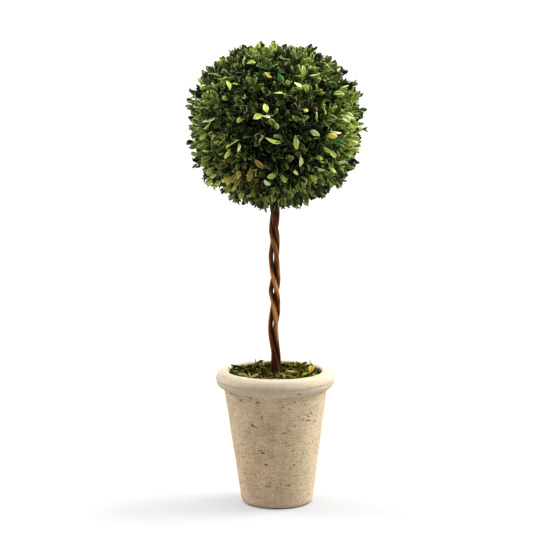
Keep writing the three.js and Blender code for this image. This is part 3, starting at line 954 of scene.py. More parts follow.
# Patches of the moss: the value under which its blades are dark, and then olive
DARK_UNDER = 0.05
OLIVE_UNDER = 0.38
MOSS_TINTS = {
    "dark": (0.010, 0.009, 0.001),
    "olive": (0.046, 0.039, 0.003),
    "straw": (0.130, 0.099, 0.011),
}
LITTER_SEED = 19
LITTER_SHARES = {
    "lime": 0.02,
    "faded": 0.05,
    "olive": 0.36,
    "fresh": 0.05,
    "mid": 0.13,
    "dark": 0.21,
    "brown": 0.18,
}
LITTER_RISES_DEGREES = (-8, 48)
LITTER_LENGTHS_MM = (8, 17)
LITTER_ROLL_DEGREES = 34
LITTER_WIDTHS = (0.42, 0.66)
LITTER_OVERHANG = 2.5 * MM
SHOWN_DRY_WIDTH = 0.62
STEM_ROOM = 11 * MM

# Width of the strip along the rim where dry leaves lie flatter, and how flat
FLAT_STRIP = 16 * MM
FLAT_SHARE = 0.4

# How much of each leaf tint's red, green and blue is left in a dry leaf
DRY_FADE = (0.93, 0.79, 0.48)

# Darker places of the moss: middle and reach (mm), tints there and their chance
DARK_LITTER = [
    (-38, 20, 30, ["deep", "dark", "mid"], 0.75),
    (-30, -20, 21, ["deep", "deep", "brown"], 0.85),
    (0, 30, 24, ["dark", "deep", "brown"], 0.50),
]

# Dry leaves that stand out: root in the pot's mouth (mm), heading and rise (degrees), length (mm),
# shape and tint
SHOWN_DRY_LEAVES = [
    (49, -13, 62, 52, 17, 1, "ochre"),
    (35, 24, 20, 25, 14, 3, "olive"),
    (42, 26, 170, 32, 14, 4, "olive"),
    (18, 20, 30, 28, 14, 2, "olive"),
    (-12, 14, 160, 16, 14, 1, "olive"),
    (-57, -14, -30, 12, 15, 2, "faded"),
    (-50, 4, 20, 14, 14, 0, "olive"),
    (-31, -42, 205, 14, 15, 0, "faded"),
    (-36, -44, 20, 10, 13, 3, "faded"),
    (-6, -52, 20, 12, 14, 4, "faded"),
    (30, -42, 150, 14, 14, 0, "olive"),
    (18, -46, 30, 12, 14, 2, "olive"),
    (52, -22, 60, 15, 14, 2, "olive"),
    (-40, 22, 175, 3, 20, 3, "dark"),
    (-48, 32, 190, 0, 18, 3, "mid"),
    (-24, 36, 170, 4, 19, 1, "mid"),
    (-50, 0, 20, 8, 20, 3, "dark"),
]
STANDING_RISE_DEGREES = 30
TWIG_END_DEPTH = 5 * MM
TWIG_END_RADIUS = 0.9 * MM

# Twig ends: foot in the pot's mouth, and how far the tip is aside of it and above it
TWIG_ENDS = [
    (-28 * MM, 57 * MM, -1 * MM, 14 * MM),
    (-59 * MM, 6 * MM, -9 * MM, 13 * MM),
    (61.5 * MM, -3 * MM, -12 * MM, 24 * MM),
]


def moss_ground_shade_material():
    """Crumbly ground between the moss blades, near-black partly as painted shade in the deep gaps between
    them.
    """
    ground = Finish("moss_ground", (0.007, 0.006, 0.001), 0.95, 0.05)
    crumbs = ground.noise(260, 0.36, 0.66, 5)
    ground.lay(crumbs, 1, (0.034, 0.029, 0.004))
    ground.lay(ground.noise(70, 0.45, 0.62), 0.5, (0.060, 0.036, 0.016))
    ground.bump(crumbs, 0.8 * MM)
    return ground.material


def moss_height(moss, x, y):
    """Height of the moss at a place in the pot's mouth."""
    share = min(1, math.hypot(x, y) / moss.radius)
    dome = lerp(moss.middle_height, moss.edge_height, share * share)
    return dome + MOSS_BUMP * math.sin(x / MOSS_WAVE_ACROSS + 1) * math.cos(y / MOSS_WAVE_DEEP)


def edge_lift(moss, away, start, lift):
    """How far things are lifted near the rim, from start short of the moss's edge on."""
    return clamp((away - moss.radius + start) / EDGE_REACH) * lift


def blade_prototype():
    """A thin three-sided blade one unit long along Y, bent and drawn to a point."""
    bm = rod(3, 0.12)
    long_edges = [edge for edge in bm.edges if edge.calc_length() > 0.9 and len(edge.link_faces) == 2]
    bmesh.ops.subdivide_edges(bm, edges=long_edges, cuts=1)
    for vert in bm.verts:
        vert.co.z += 4 * vert.co.y * vert.co.y
    return Prototype(bm)


class TOPIARY_OT_moss(bpy.types.Operator):
    """Lays the moss in the pot's mouth"""

    bl_idname = "topiary.moss"
    bl_label = "Moss"

    def execute(self, context):
        moss = context.scene.topiary_moss
        self.lay_ground(moss)
        self.grow_blades(moss)
        return {"FINISHED"}

    def lay_ground(self, moss):
        rings = [(moss.radius * (1 - ring / MOSS_RINGS), moss.edge_height) for ring in range(MOSS_RINGS)]
        underside = [(0, MOSS_LOW.z), (moss.radius - 1.5 * MM, MOSS_LOW.z)]
        bm = spun([*underside, *rings, (0, moss.edge_height)], MOSS_SIDES)
        for vert in bm.verts:
            if vert.co.z > MOSS_LOW.z + 1 * MM:
                x, y, _ = vert.co
                crumble = MOSS_CRUMBLE * (waves(x, y, 0, 190) + 0.5 * waves(x, y, 1, 480))
                vert.co.z = moss_height(moss, x, y) - MOSS_SINK + crumble
        lean_with_pot(bm)
        dress(mesh_from(bm, "moss_ground"), [moss_ground_shade_material()], "moss_cover")

    def grow_blades(self, moss):
        rng = random.Random(MOSS_SEED)
        rows = {tint: [] for tint in MOSS_TINTS}
        for index in range(moss.tufts):
            away = (moss.radius + 2 * MM) * math.sqrt((index + 0.5) / moss.tufts)
            turn = index * GOLDEN_ANGLE
            x, y = away * math.cos(turn), away * math.sin(turn)
            patch = waves(x, y, 3, 55) + rng.uniform(-0.35, 0.35)
            tint = "dark" if patch < DARK_UNDER else "olive" if patch < OLIVE_UNDER else "straw"
            lean = math.radians(rng.uniform(*BLADE_LEANS_DEGREES))
            along = leant(UP, rng.uniform(0, FULL_TURN), lean)
            length = rng.uniform(*BLADE_LENGTHS_MM) * MM
            thick = rng.uniform(*BLADE_RADII_MM) * MM
            lift = edge_lift(moss, away, 6 * MM, 3.5 * MM)
            root = Vector((x, y, moss_height(moss, x, y) - BLADE_SINK + lift))
            if (root + along * length).xy.length > moss.radius + BLADE_OVERHANG:
                continue
            blade = placing(along, across_from(along)[0], rng.uniform(0, FULL_TURN), length, thick, thick)
            rows[tint].append((root + MOUTH_MIDDLE, blade, 0))
        for tint, colour in MOSS_TINTS.items():
            mesh = joined_copies(f"moss_blades_{tint}", [blade_prototype()], rows[tint])
            dress(mesh, [Finish(mesh.name, colour, 0.9, 0.02).material], "moss_cover")


class TOPIARY_OT_litter(bpy.types.Operator):
    """Strews dry leaves and twig ends on the moss"""

    bl_idname = "topiary.litter"
    bl_label = "Dry Leaves"

    def execute(self, context):
        moss = context.scene.topiary_moss
        basket = LeafBasket()
        self.strew_leaves(moss, basket)
        for dry_leaf in SHOWN_DRY_LEAVES:
            self.place_dry_leaf(moss, basket, *dry_leaf)
        basket.join("dry_leaves", "moss", "moss_cover", 0.80, 0.02, fade=DRY_FADE)
        self.stand_twigs(moss)
        return {"FINISHED"}

    def strew_leaves(self, moss, basket):
        rng = random.Random(LITTER_SEED)
        for index in range(moss.leaves):
            share = math.sqrt((index + 0.5) / moss.leaves)
            away = lerp(STEM_ROOM, moss.radius - 1 * MM, share) + rng.uniform(-3, 2) * MM
            turn = index * GOLDEN_ANGLE + rng.uniform(-0.3, 0.3)
            x, y = away * math.cos(turn), away * math.sin(turn)
            heading = rng.uniform(0, FULL_TURN)
            flat = FLAT_SHARE if away > moss.radius - FLAT_STRIP else 1
            along = pointing(heading, math.radians(rng.uniform(*LITTER_RISES_DEGREES) * flat))
            length = rng.uniform(*LITTER_LENGTHS_MM) * MM
            width = length * rng.uniform(*LITTER_WIDTHS)
            height = moss_height(moss, x, y) + rng.uniform(0, 2) * MM
            middle = Vector((x, y, height + edge_lift(moss, away, 8 * MM, 3 * MM)))
            root = middle - along * length * 0.45
            tip = middle + along * length * 0.55
            if max(root.xy.length, tip.xy.length) > moss.radius + LITTER_OVERHANG:
                continue
            if min(root.xy.length, tip.xy.length, away) < STEM_ROOM - 3 * MM:
                continue
            roll = math.radians(rng.gauss(0, LITTER_ROLL_DEGREES))
            tint = drawn(LITTER_SHARES, rng)
            for dark_x, dark_y, reach, dark_tints, chance in DARK_LITTER:
                if math.dist((x, y), (dark_x * MM, dark_y * MM)) < reach * MM and rng.random() < chance:
                    tint = rng.choice(dark_tints)
            leaf = placing(along, UP, roll, length, width, width)
            basket.add(root + MOUTH_MIDDLE, leaf, rng.randrange(len(LEAF_SHAPES)), tint)

    def place_dry_leaf(self, moss, basket, x_mm, y_mm, heading, rise, length_mm, kind, tint):
        """One of the dry leaves that stand out at the front of the moss."""
        x, y, length = x_mm * MM, y_mm * MM, length_mm * MM
        root = Vector((x, y, moss_height(moss, x, y) + 1 * MM)) + MOUTH_MIDDLE
        facing = Vector((0, -1, 0.6)) if rise > STANDING_RISE_DEGREES else UP
        along = pointing(math.radians(heading), math.radians(rise))
        width = length * SHOWN_DRY_WIDTH
        basket.add(root, placing(along, facing, 0, length, width, width), kind, tint)

    def stand_twigs(self, moss):
        rows = []
        for x, y, aside, rise in TWIG_ENDS:
            foot = Vector((x, y, moss_height(moss, x, y) - TWIG_END_DEPTH)) + MOUTH_MIDDLE
            along = Vector((aside, 0, rise))
            thick = TWIG_END_RADIUS
            twig = placing(along.normalized(), Vector((0, 1, 0)), 0, along.length, thick, thick)
            rows.append((foot, twig, 0))
        mesh = joined_copies("twig_ends", [twig_prototype()], rows)
        wood = Finish("twig_ends", LEAF_TINTS["brown"][0], 0.7)
        dress(mesh, [wood.material], "moss_cover")


# Canes

CANES = 3
TWIST_HEIGHT = 246 * MM
TWIST_DEGREES_PER_MM = 1.911
TWIST_GROWTH = 0.003745
TWIST_START_DEGREES = 63

# Where the canes are wound further than their even twist: height, degrees and reach
TWIST_SURGES = [(331 * MM, 33, 27 * MM), (225 * MM, 18, 28 * MM), (405 * MM, 12, 16 * MM)]
WINDING_RADIUS = 4.05 * MM
WINDING_SWELL = 0.15 * MM

# How far a cane bows out where it passes on the left, by height, which opens the gaps there
BOW_HEIGHTS = [236 * MM, 258 * MM, 300 * MM, 330 * MM, 362 * MM, 384 * MM]
BOW_REACHES = [0.0, 1.4 * MM, 1.8 * MM, 2.0 * MM, 2.1 * MM, 0.0]
STEM_LOW_HEIGHT = 190 * MM
STEM_HIGH_HEIGHT = 430 * MM
STEM_SIDE = -1.1 * MM
KINK_SIDE = -1.5 * MM
KINK_HEIGHT = 249 * MM
KINK_REACH = 16 * MM
FOOT_SIDE = 2.4 * MM
FOOT_SIDE_HEIGHT = 198 * MM
FOOT_SIDE_REACH = 22 * MM
FOOT_SWELL_HEIGHT = 188 * MM
FOOT_SWELL_REACH = 12 * MM
FOOT_SWELL = 0.5 * MM
FOOT_SPREAD = 0.8 * MM
KNOT_SEED = 100
KNOT_SPACING = 62 * MM
KNOT_REACH = 3.2 * MM
KNOT_RISE = 0.55 * MM
RIBS = 7
RIB_RISE = 0.09 * MM
BARK_SWELL = 0.26 * MM
FINE_BARK = 0.10 * MM

# How far apart the three canes lie in the bark's pattern, so that no two look alike
BARK_SHIFT = 50 * MM

# Heights between which the painted shade at the canes' foot fades, and between which the golden colour
# fades out upwards into painted shade under the ball
CANE_SHADE_FULL = 214 * MM
CANE_SHADE_END = 262 * MM
LIT_GOLD_FULL = 366 * MM
BALL_SHADE_FULL = 396 * MM


def bark_material(canes, name):
    """Polished bark with painted light: painted shade makes it dark red in the grooves between the canes,
    at the foot and under the ball, and golden on the outward faces where the noise rubs it, partly wear and
    partly a painted highlight.
    """
    bark = Finish(name, canes.dark_bark_and_shade, 0.34, 0.06)
    bark.place = bark.attribute("straight_place", "Vector")
    outside = bark.attribute("outside", "Fac")
    height = bark.along("Z")
    streaks = bark.noise(520, 0.38, 0.62, 5, upright=0.07)
    rubbed = bark.noise(190, 0.38, 0.66, upright=0.12)
    # Painted highlight: golden on the faces turned outwards from the stem, where the noise also rubs the
    # bark thin, fading into painted shade under the ball
    rubbed_and_lit = bark.math("MULTIPLY", bark.ranged(outside, 0.10, 1.00), rubbed)
    rubbed_and_lit = bark.math("MULTIPLY", rubbed_and_lit, bark.ranged(height, BALL_SHADE_FULL, LIT_GOLD_FULL))
    flecks = bark.noise(900, 0.60, 0.70, 2, upright=0.5)
    bark.lay(streaks, 1, canes.bark)
    bark.lay(rubbed_and_lit, 0.90, canes.pale_bark_and_highlight)
    bark.lay(flecks, 0.40, canes.dark_bark_and_shade)
    # Painted shade: dark red in the grooves where the canes face each other, and at the foot
    bark.lay(bark.ranged(outside, 0.20, -0.60), 0.94, canes.dark_bark_and_shade)
    bark.lay(bark.ranged(height, CANE_SHADE_END, CANE_SHADE_FULL), 0.92, canes.dark_bark_and_shade)
    bark.bump(streaks, 0.18 * MM, 0.7)
    return bark.material


def stem_side(height):
    """Sideways place of the stem's middle: nearly plumb, with a slight kink and a foot set aside."""
    kink = KINK_SIDE * hump(height - KINK_HEIGHT, KINK_REACH)
    return STEM_SIDE + kink + FOOT_SIDE * hump(height - FOOT_SIDE_HEIGHT, FOOT_SIDE_REACH)


def stem_middle(height):
    return Vector((pot_side(height) + stem_side(height), 0, height))


def foot_share(height):
    """How much of the swell at the canes' foot is felt at a height."""
    return hump(height - FOOT_SWELL_HEIGHT, FOOT_SWELL_REACH)


def cane_point(cane, height):
    """A point on the centre line of one cane."""
    above = (height - TWIST_HEIGHT) / MM
    twist = TWIST_DEGREES_PER_MM * above + TWIST_GROWTH * above * above
    for surge_height, degrees, reach in TWIST_SURGES:
        twist += degrees * hump(height - surge_height, reach)
    angle = math.radians(-90 - twist + TWIST_START_DEGREES + 360 / CANES * cane)
    share = clamp((height - STEM_LOW_HEIGHT) / (STEM_HIGH_HEIGHT - STEM_LOW_HEIGHT))
    winding = WINDING_RADIUS + WINDING_SWELL * math.sin(math.pi * share) + FOOT_SPREAD * foot_share(height)
    bow = float(np.interp(height, BOW_HEIGHTS, BOW_REACHES))
    aside = bow / 2 - bow * max(0, -math.cos(angle)) ** 4
    return stem_middle(height) + Vector((winding * math.cos(angle) + aside, winding * math.sin(angle), 0))


def cane_knots(cane):
    """Heights and turns of one cane's bud scars."""
    rng = random.Random(KNOT_SEED + cane)
    knots = []
    height = CANE_LOW.z + KNOT_SPACING * rng.uniform(0.8, 1.4)
    while height < CANE_HIGH.z:
        knots.append((height, rng.uniform(0, FULL_TURN)))
        height += KNOT_SPACING * rng.uniform(0.6, 1.4)
    return knots


def bark_relief(cane, knots, angle, height):
    """How far the bark stands out at a place on a cane: ribs, swells and knots."""
    seed = 10 * cane
    across, deep = math.cos(angle), math.sin(angle)
    wander = 4 * noise.noise(Vector((seed, 0, height * 22)))
    swells = noise.noise(Vector((across * 1.6 + seed, deep * 1.6, height * 45)))
    fine = noise.noise(Vector((across * 5, deep * 5 + seed, height * 170)))
    rise = RIB_RISE * math.sin(RIBS * angle + wander) + BARK_SWELL * swells + FINE_BARK * fine
    for knot_height, knot_turn in knots:
        if abs(height - knot_height) < 3 * KNOT_REACH:
            facing = 0.5 + 0.5 * math.cos(angle - knot_turn)
            rise += KNOT_RISE * hump(height - knot_height, KNOT_REACH) * (0.25 + 0.75 * facing**3)
    return rise


class TOPIARY_OT_canes(bpy.types.Operator):
    """Winds the three canes of the stem"""

    bl_idname = "topiary.canes"
    bl_label = "Twisted Canes"

    def execute(self, context):
        for cane in range(CANES):
            self.wind_cane(cane, context.scene.topiary_canes)
        return {"FINISHED"}

    def wind_cane(self, cane, canes):
        foot, tip = CANE_LOW.z, CANE_HIGH.z
        profile = [(0, foot)]
        for ring in range(canes.rings + 1):
            height = lerp(foot, tip, ring / canes.rings)
            radius = lerp(canes.foot_radius, canes.tip_radius, (height - foot) / (tip - foot))
            profile.append((radius, height))
        bm = spun([*profile, (0, tip)], canes.sides)
        straight = bm.verts.layers.float_vector.new("straight_place")
        outside = bm.verts.layers.float.new("outside")
        knots = cane_knots(cane)
        for vert in bm.verts:
            x, y, height = vert.co
            vert[straight] = Vector((x + BARK_SHIFT * cane, y, height))
            centre = cane_point(cane, height)
            outwards = (centre - stem_middle(height)).normalized()
            vert[outside] = Vector((x, y, 0)).normalized().dot(outwards)
            radius = math.hypot(x, y)
            if radius > 0.1 * MM:
                angle = math.atan2(y, x)
                radius += bark_relief(cane, knots, angle, height) + FOOT_SWELL * foot_share(height)
                x, y = radius * math.cos(angle), radius * math.sin(angle)
            vert.co = (x + centre.x, y + centre.y, height)
        name = f"cane_{cane + 1}"
        bark = bark_material(canes, f"bark_{cane + 1}")
        dress(mesh_from(bm, name), [bark], f"stem_{name}", sharp_degrees=60)


# Ball

BALL_SQUARENESS = 2.3
CORE_SHARE = 0.66
CORE_RELIEF = 0.035
CORE_DETAIL = 6
STRAY_OUT = 0.034
STRAY_IN = 0.10
SPRIG_ROOT_SHARE = 0.6
SPRIG_SHIFT_DEGREES = 2.2
SPRIG_LEAN_DEGREES = 13
TWIG_RADIUS = 0.85 * MM
TWIG_COLOUR = (0.20, 0.20, 0.07)
BARE_SHARE = 0.38
SHORTEST_TWIG = 4 * MM
SIDE_TWIG_CHANCE = 0.45
SIDE_TWIG_DEGREES = 38
SIDE_TWIG_RADIUS = 0.6 * MM

# Side twigs: where they fork, and their share of the usual lean and of the length beyond the fork
FORK_SHARES = (0.3, 0.6)
SIDE_LEANS = (0.7, 1.2)
SIDE_LENGTHS = (0.6, 0.95)
SIDE_BARE_SHARE = 0.25
PAIR_SPACING = 7.4 * MM
LOW_SPREAD_DEGREES = 40
HIGH_SPREAD_DEGREES = 12
SPREAD_JITTER_DEGREES = 13
TIP_LEAF_LOSS = 0.28
LEAF_CLOSING = 0.72
LEAF_SIZES = (0.82, 1.12)
LEAF_WIDTHS = (0.88, 1.12)

# Shares of its spread that a leaf is tried with until it keeps to the ball's space
LEAF_CLOSINGS = (1, 0.6)
LEAF_SINK = 0.6 * MM
LEAF_ROLL_DEGREES = 42
STEM_CLEARANCE = 10.5 * MM
SHOWN_LEAF_SEED = 63
SHOWN_PIXEL = 1.41 * MM
SHOWN_STEPS = 24
SHOWN_LEAF_KINDS = (0, 1, 2, 3)
SHOWN_LEAF_SIZES = (0.80, 0.95)
SHOWN_LEAF_WIDTHS = (0.50, 0.62)
SHOWN_ROLL_JITTER_DEGREES = 6

# A single leaf is at least this much longer than what shows of it
SHOWN_EXCESS = 1.03


def core_shade_material():
    """Near-black green of the packed stalks between the sprigs, near-black partly as painted shade for the
    deep gaps in the ball.
    """
    stalks = Finish("packed_stalks_shade", (0.004, 0.006, 0.003), 0.9)
    ends = stalks.noise(240, 0.40, 0.66, 5)
    stalks.lay(ends, 1, (0.020, 0.022, 0.009))
    stalks.bump(ends, 1.0 * MM)
    return stalks.material


def ball_middle(ball):
    return Vector((RIM_ASIDE, 0, ball.height))


def ball_reach(ball, direction):
    """Distance from the ball's middle to its clipped outline, towards a point."""
    level = math.hypot(direction.x, direction.y) / ball.half_width
    upright = abs(direction.z) / ball.half_height
    total = level**BALL_SQUARENESS + upright**BALL_SQUARENESS
    return direction.length * total ** (-1 / BALL_SQUARENESS)


def shown_place(ball, across, up):
    """Where the camera's sight through a place on the ball's middle plane meets the outline."""
    level = Vector((across, 0, up))
    sight = (level + ball_middle(ball) - CAMERA_PLACE).normalized()
    low, high = 0.0, ball.half_width
    for _ in range(SHOWN_STEPS):
        depth = (low + high) / 2
        place = level - sight * depth
        if place.length < ball_reach(ball, place):
            low = depth
        else:
            high = depth
    return level - sight * low, -sight


def keeps_to_space(ball, point, stray):
    """True where a point is inside the ball's space and clear of the stem."""
    inside = point.length <= ball_reach(ball, point) * (1 + stray)
    from_stem = math.hypot(point.x - stem_side(point.z + ball.height), point.y)
    return inside and (point.z > 0 or from_stem > STEM_CLEARANCE)


def leaf_tint(direction, sprig_green, rng):
    """A leaf's tint: that of a patch it stands in (some patches are painted light or painted shade), one of
    its own, or one near its sprig's green.
    """
    for place, closeness, tint, chance in TINT_AND_LIGHT_PATCHES:
        if direction.dot(Vector(place).normalized()) > closeness and rng.random() < chance:
            return tint
    if rng.random() < sum(STRAY_SHARES.values()):
        return drawn(STRAY_SHARES, rng)
    place = GREENS.index(sprig_green) + drawn(STEP_SHARES, rng)
    return GREENS[int(clamp(place, 0, len(GREENS) - 1))]


class TOPIARY_OT_ball_core(bpy.types.Operator):
    """Makes the packed inside of the ball, near-black partly as painted shade"""

    bl_idname = "topiary.ball_core"
    bl_label = "Ball Core"

    def execute(self, context):
        ball = context.scene.topiary_ball
        bm = bmesh.new()
        bmesh.ops.create_icosphere(bm, subdivisions=CORE_DETAIL, radius=1)
        for vert in bm.verts:
            direction = vert.co.normalized()
            relief = waves(*direction, 7) + 0.5 * waves(*direction, 16)
            reach = ball_reach(ball, direction) * (CORE_SHARE + CORE_RELIEF * relief)
            vert.co = direction * reach + ball_middle(ball)
        dress(mesh_from(bm, "ball_core"), [core_shade_material()], "foliage_ball")
        return {"FINISHED"}


class TOPIARY_OT_ball(bpy.types.Operator):
    """Grows the sprigs of the clipped ball and joins their twigs and leaves"""

    bl_idname = "topiary.ball"
    bl_label = "Clipped Ball"

    def execute(self, context):
        ball = context.scene.topiary_ball
        self.basket = LeafBasket()
        self.twigs = []
        rng = random.Random(ball.seed)
        for index in range(ball.sprigs):
            self.grow_sprig(ball, even_direction(index, ball.sprigs), rng)
        rng = random.Random(SHOWN_LEAF_SEED)
        for shown_leaf in SHOWN_LEAVES:
            self.set_shown_leaf(ball, *shown_leaf, rng)
        self.basket.join("leaves", "leaves", "foliage_ball", 0.45, 0.20)
        twigs = joined_copies("sprig_twigs", [twig_prototype()], self.twigs)
        dress(twigs, [Finish("sprig_twigs", TWIG_COLOUR, 0.6).material], "foliage_ball")
        return {"FINISHED"}

    def grow_sprig(self, ball, direction, rng):
        """A leaning twig, and by chance side twigs that fork from it, each with its leaves."""
        shift = rng.uniform(0, FULL_TURN), math.radians(rng.uniform(0, SPRIG_SHIFT_DEGREES))
        direction = leant(direction, *shift)
        reach = ball_reach(ball, direction)
        stray = lerp(-STRAY_IN, STRAY_OUT, rng.random())
        along = leant(direction, rng.uniform(0, FULL_TURN), math.radians(SPRIG_LEAN_DEGREES * rng.random()))
        root = direction * reach * SPRIG_ROOT_SHARE
        length = reach * (1 + stray) - ball.leaf_length * LEAF_CLOSING - root.length
        turn = rng.uniform(0, FULL_TURN)
        green = drawn(SPRIG_SHARES, rng)
        self.grow_shoot(ball, root, along, length, BARE_SHARE, turn, TWIG_RADIUS, green, rng)
        for side in (0, 1):
            if rng.random() < SIDE_TWIG_CHANCE:
                share = rng.uniform(*FORK_SHARES)
                fork = root + along * length * share
                side_turn = turn + math.pi / 2 + math.pi * side
                lean = math.radians(SIDE_TWIG_DEGREES * rng.uniform(*SIDE_LEANS))
                side_along = leant(along, side_turn, lean)
                side_length = length * (1 - share) * rng.uniform(*SIDE_LENGTHS)
                shoot = fork, side_along, side_length, SIDE_BARE_SHARE, turn, SIDE_TWIG_RADIUS
                self.grow_shoot(ball, *shoot, green, rng)

    def grow_shoot(self, ball, root, along, length, bare_share, turn, radius, green, rng):
        """A bare twig, then opposite pairs of leaves, each pair square to the one below."""
        tip = root + along * length
        if length < SHORTEST_TWIG or not (keeps_to_space(ball, root, 0) and keeps_to_space(ball, tip, 0)):
            return
        twig = placing(along, across_from(along)[0], 0, length, radius, radius)
        self.twigs.append((root + ball_middle(ball), twig, 0))
        leafy = length * (1 - bare_share)
        pairs = max(2, round(leafy / PAIR_SPACING) + 1)
        for pair in range(pairs):
            share = pair / (pairs - 1)
            joint = root + along * (length * bare_share + leafy * share)
            spread = lerp(LOW_SPREAD_DEGREES, HIGH_SPREAD_DEGREES, share**1.2)
            grown = 1 - TIP_LEAF_LOSS * share**4
            for side in (0, 1):
                leaf_turn = turn + math.pi * side + pair * math.pi / 2 + rng.uniform(-0.3, 0.3)
                self.grow_leaf(ball, joint, along, leaf_turn, spread, grown, green, rng)

    def grow_leaf(self, ball, joint, along, turn, spread, grown, green, rng):
        """One leaf, turned upwards once more if it would leave the ball's space."""
        size = grown * rng.uniform(*LEAF_SIZES)
        length = ball.leaf_length * size
        width = ball.leaf_width * size * rng.uniform(*LEAF_WIDTHS)
        for closing in LEAF_CLOSINGS:
            leaf_spread = math.radians(spread * closing + rng.gauss(0, SPREAD_JITTER_DEGREES))
            leaf_along = leant(along, turn, leaf_spread)
            root = joint - leaf_along * LEAF_SINK
            tip = root + leaf_along * length
            if keeps_to_space(ball, tip, STRAY_OUT) and keeps_to_space(ball, (root + tip) / 2, STRAY_OUT):
                roll = math.radians(rng.gauss(0, LEAF_ROLL_DEGREES))
                leaf = placing(leaf_along, along, roll, length, width, width)
                tint = leaf_tint(tip.normalized(), green, rng)
                self.basket.add(root + ball_middle(ball), leaf, rng.randrange(len(LEAF_SHAPES)), tint)
                return

    def set_shown_leaf(self, ball, across, up, heading_degrees, seen_length, roll_degrees, tint, rng):
        """One of the single leaves that stand out at the front, its root sunk among the others."""
        place, facing = shown_place(ball, across * SHOWN_PIXEL, up * SHOWN_PIXEL)
        heading = math.radians(heading_degrees)
        seen = Vector((math.cos(heading), 0, math.sin(heading)))
        seen_length *= SHOWN_PIXEL
        length = max(seen_length * SHOWN_EXCESS, ball.leaf_length * rng.uniform(*SHOWN_LEAF_SIZES))
        tilt = math.acos(seen_length / length)
        along = (seen * math.cos(tilt) + facing * math.sin(tilt)).normalized()
        tip = place + along * length / 2
        tip *= min(1, (ball_reach(ball, tip) - rng.uniform(0, 2) * MM) / tip.length)
        width = length * rng.uniform(*SHOWN_LEAF_WIDTHS)
        rolled = roll_degrees + rng.gauss(0, SHOWN_ROLL_JITTER_DEGREES)
        roll = math.radians(rolled * rng.choice((-1, 1)))
        leaf = placing(along, facing, roll, length, width, width)
        self.basket.add(tip - along * length + ball_middle(ball), leaf, rng.choice(SHOWN_LEAF_KINDS), tint)


# Stage

FLOOR_ALBEDO = 0.18
FLOOR_GLOW = 0.45
FLOOR_GAP = 0.2 * MM
FOOT_SHADE_FROM = 44 * MM
FOOT_SHADE_TO = 53 * MM
WARM_LIGHT = (1.0, 0.98, 0.94)
WHITE = (1, 1, 1)


def soft_light(name, towards, strength, spread_degrees, colour):
    """A far soft light that shines from one side on floor and plant alike."""
    lamp = bpy.data.lights.new(name, "SUN")
    lamp.energy = strength
    lamp.angle = math.radians(spread_degrees)
    lamp.color = colour
    light = bpy.data.objects.new(name, lamp)
    light.rotation_euler = Vector(towards).to_track_quat("Z", "Y").to_euler()
    bpy.context.scene.collection.objects.link(light)


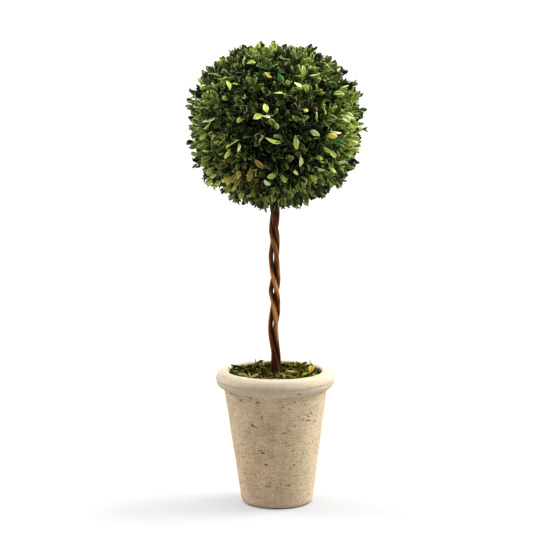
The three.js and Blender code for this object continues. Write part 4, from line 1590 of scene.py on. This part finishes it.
class TOPIARY_OT_stage(bpy.types.Operator):
    """Sets the camera, the pale floor and the soft lights"""

    bl_idname = "topiary.stage"
    bl_label = "Stage"

    def execute(self, context):
        settings = context.scene.topiary_stage
        self.place_camera(context)
        self.lay_floor(context, settings)
        self.light_world(context, settings)
        soft_light("light_left", (-1.7, 0.7, 1.25), settings.left_sun, 40, WARM_LIGHT)
        soft_light("light_right", (1.7, 0.5, 1.25), settings.right_sun, 40, WARM_LIGHT)
        soft_light("light_top", (0.15, 0.2, 2.0), settings.top_sun, 50, WHITE)
        soft_light("light_front", (0.8, -2.6, 1.2), settings.front_sun, 30, WHITE)
        return {"FINISHED"}

    def place_camera(self, context):
        lens = bpy.data.cameras.new("camera")
        lens.sensor_width = SENSOR_WIDTH_MM
        lens.lens = SENSOR_WIDTH_MM * PHOTO_FOCAL_PIXELS / PHOTO_PIXELS
        camera = bpy.data.objects.new("camera", lens)
        camera.location = CAMERA_PLACE
        camera.rotation_euler = (math.radians(CAMERA_TILT_DEGREES), 0, 0)
        context.scene.collection.objects.link(camera)
        context.scene.camera = camera
        context.scene.view_settings.view_transform = "Standard"

    def lay_floor(self, context, settings):
        """A pale floor that glows a little, with a painted shadow: no glow in a ring round the pot's foot,
        which leaves a dark line under it.
        """
        bm = bmesh.new()
        bmesh.ops.create_circle(bm, cap_ends=True, segments=96, radius=settings.floor_radius)
        bm.transform(Matrix.Translation((0, 0, -FLOOR_GAP)))
        floor = bpy.data.objects.new("floor", mesh_from(bm, "floor"))
        pale = Finish("pale_floor", [FLOOR_ALBEDO] * 3, 0.8, 0)
        from_foot = pale.node("ShaderNodeVectorMath", {"Vector": pale.place}, operation="LENGTH")
        open_floor = pale.ranged(from_foot.outputs["Value"], FOOT_SHADE_FROM, FOOT_SHADE_TO)
        pale.give("Emission Color", WHITE)
        pale.give("Emission Strength", pale.math("MULTIPLY", open_floor, FLOOR_GLOW))
        floor.data.materials.append(pale.material)
        context.scene.collection.objects.link(floor)

    def light_world(self, context, settings):
        """White where the camera sees past the floor, and a weaker even light on all else."""
        world = bpy.data.worlds.new("studio")
        world.use_nodes = True
        context.scene.world = world
        tree = world.node_tree
        tree.nodes.clear()
        seen = add_node(tree, "ShaderNodeBackground", {"Color": WHITE, "Strength": 1.0})
        lit = add_node(tree, "ShaderNodeBackground", {"Color": WHITE, "Strength": settings.surround})
        is_seen = add_node(tree, "ShaderNodeLightPath").outputs["Is Camera Ray"]
        shaders = {0: is_seen, 1: lit.outputs[0], 2: seen.outputs[0]}
        mixed = add_node(tree, "ShaderNodeMixShader", shaders)
        add_node(tree, "ShaderNodeOutputWorld", {"Surface": mixed.outputs[0]})


OPERATORS = [
    TOPIARY_OT_stage,
    TOPIARY_OT_pot,
    TOPIARY_OT_filling,
    TOPIARY_OT_moss,
    TOPIARY_OT_litter,
    TOPIARY_OT_canes,
    TOPIARY_OT_ball_core,
    TOPIARY_OT_ball,
]


class TOPIARY_PT_sidebar(bpy.types.Panel):
    """Lists the pieces of the topiary"""

    bl_idname = "TOPIARY_PT_sidebar"
    bl_label = "Box Topiary Ball"
    bl_space_type = "VIEW_3D"
    bl_region_type = "UI"
    bl_category = "Topiary"

    def draw(self, context):
        for piece in OPERATORS:
            self.layout.operator(piece.bl_idname)
        for name, group in SETTINGS.items():
            box = self.layout.box()
            box.label(text=group.__doc__)
            for prop in group.__annotations__:
                box.prop(getattr(context.scene, name), prop)


def register():
    for name, group in SETTINGS.items():
        bpy.utils.register_class(group)
        setattr(bpy.types.Scene, name, PointerProperty(type=group))
    for panel_or_operator in (*OPERATORS, TOPIARY_PT_sidebar):
        bpy.utils.register_class(panel_or_operator)


def unregister():
    for panel_or_operator in reversed((*OPERATORS, TOPIARY_PT_sidebar)):
        bpy.utils.unregister_class(panel_or_operator)
    for name, group in reversed(SETTINGS.items()):
        delattr(bpy.types.Scene, name)
        bpy.utils.unregister_class(group)


def main():
    register()
    bpy.ops.topiary.stage()
    bpy.ops.topiary.pot()
    bpy.ops.topiary.filling()
    bpy.ops.topiary.moss()
    bpy.ops.topiary.litter()
    bpy.ops.topiary.canes()
    bpy.ops.topiary.ball_core()
    bpy.ops.topiary.ball()


if __name__ == "__main__":
    main()
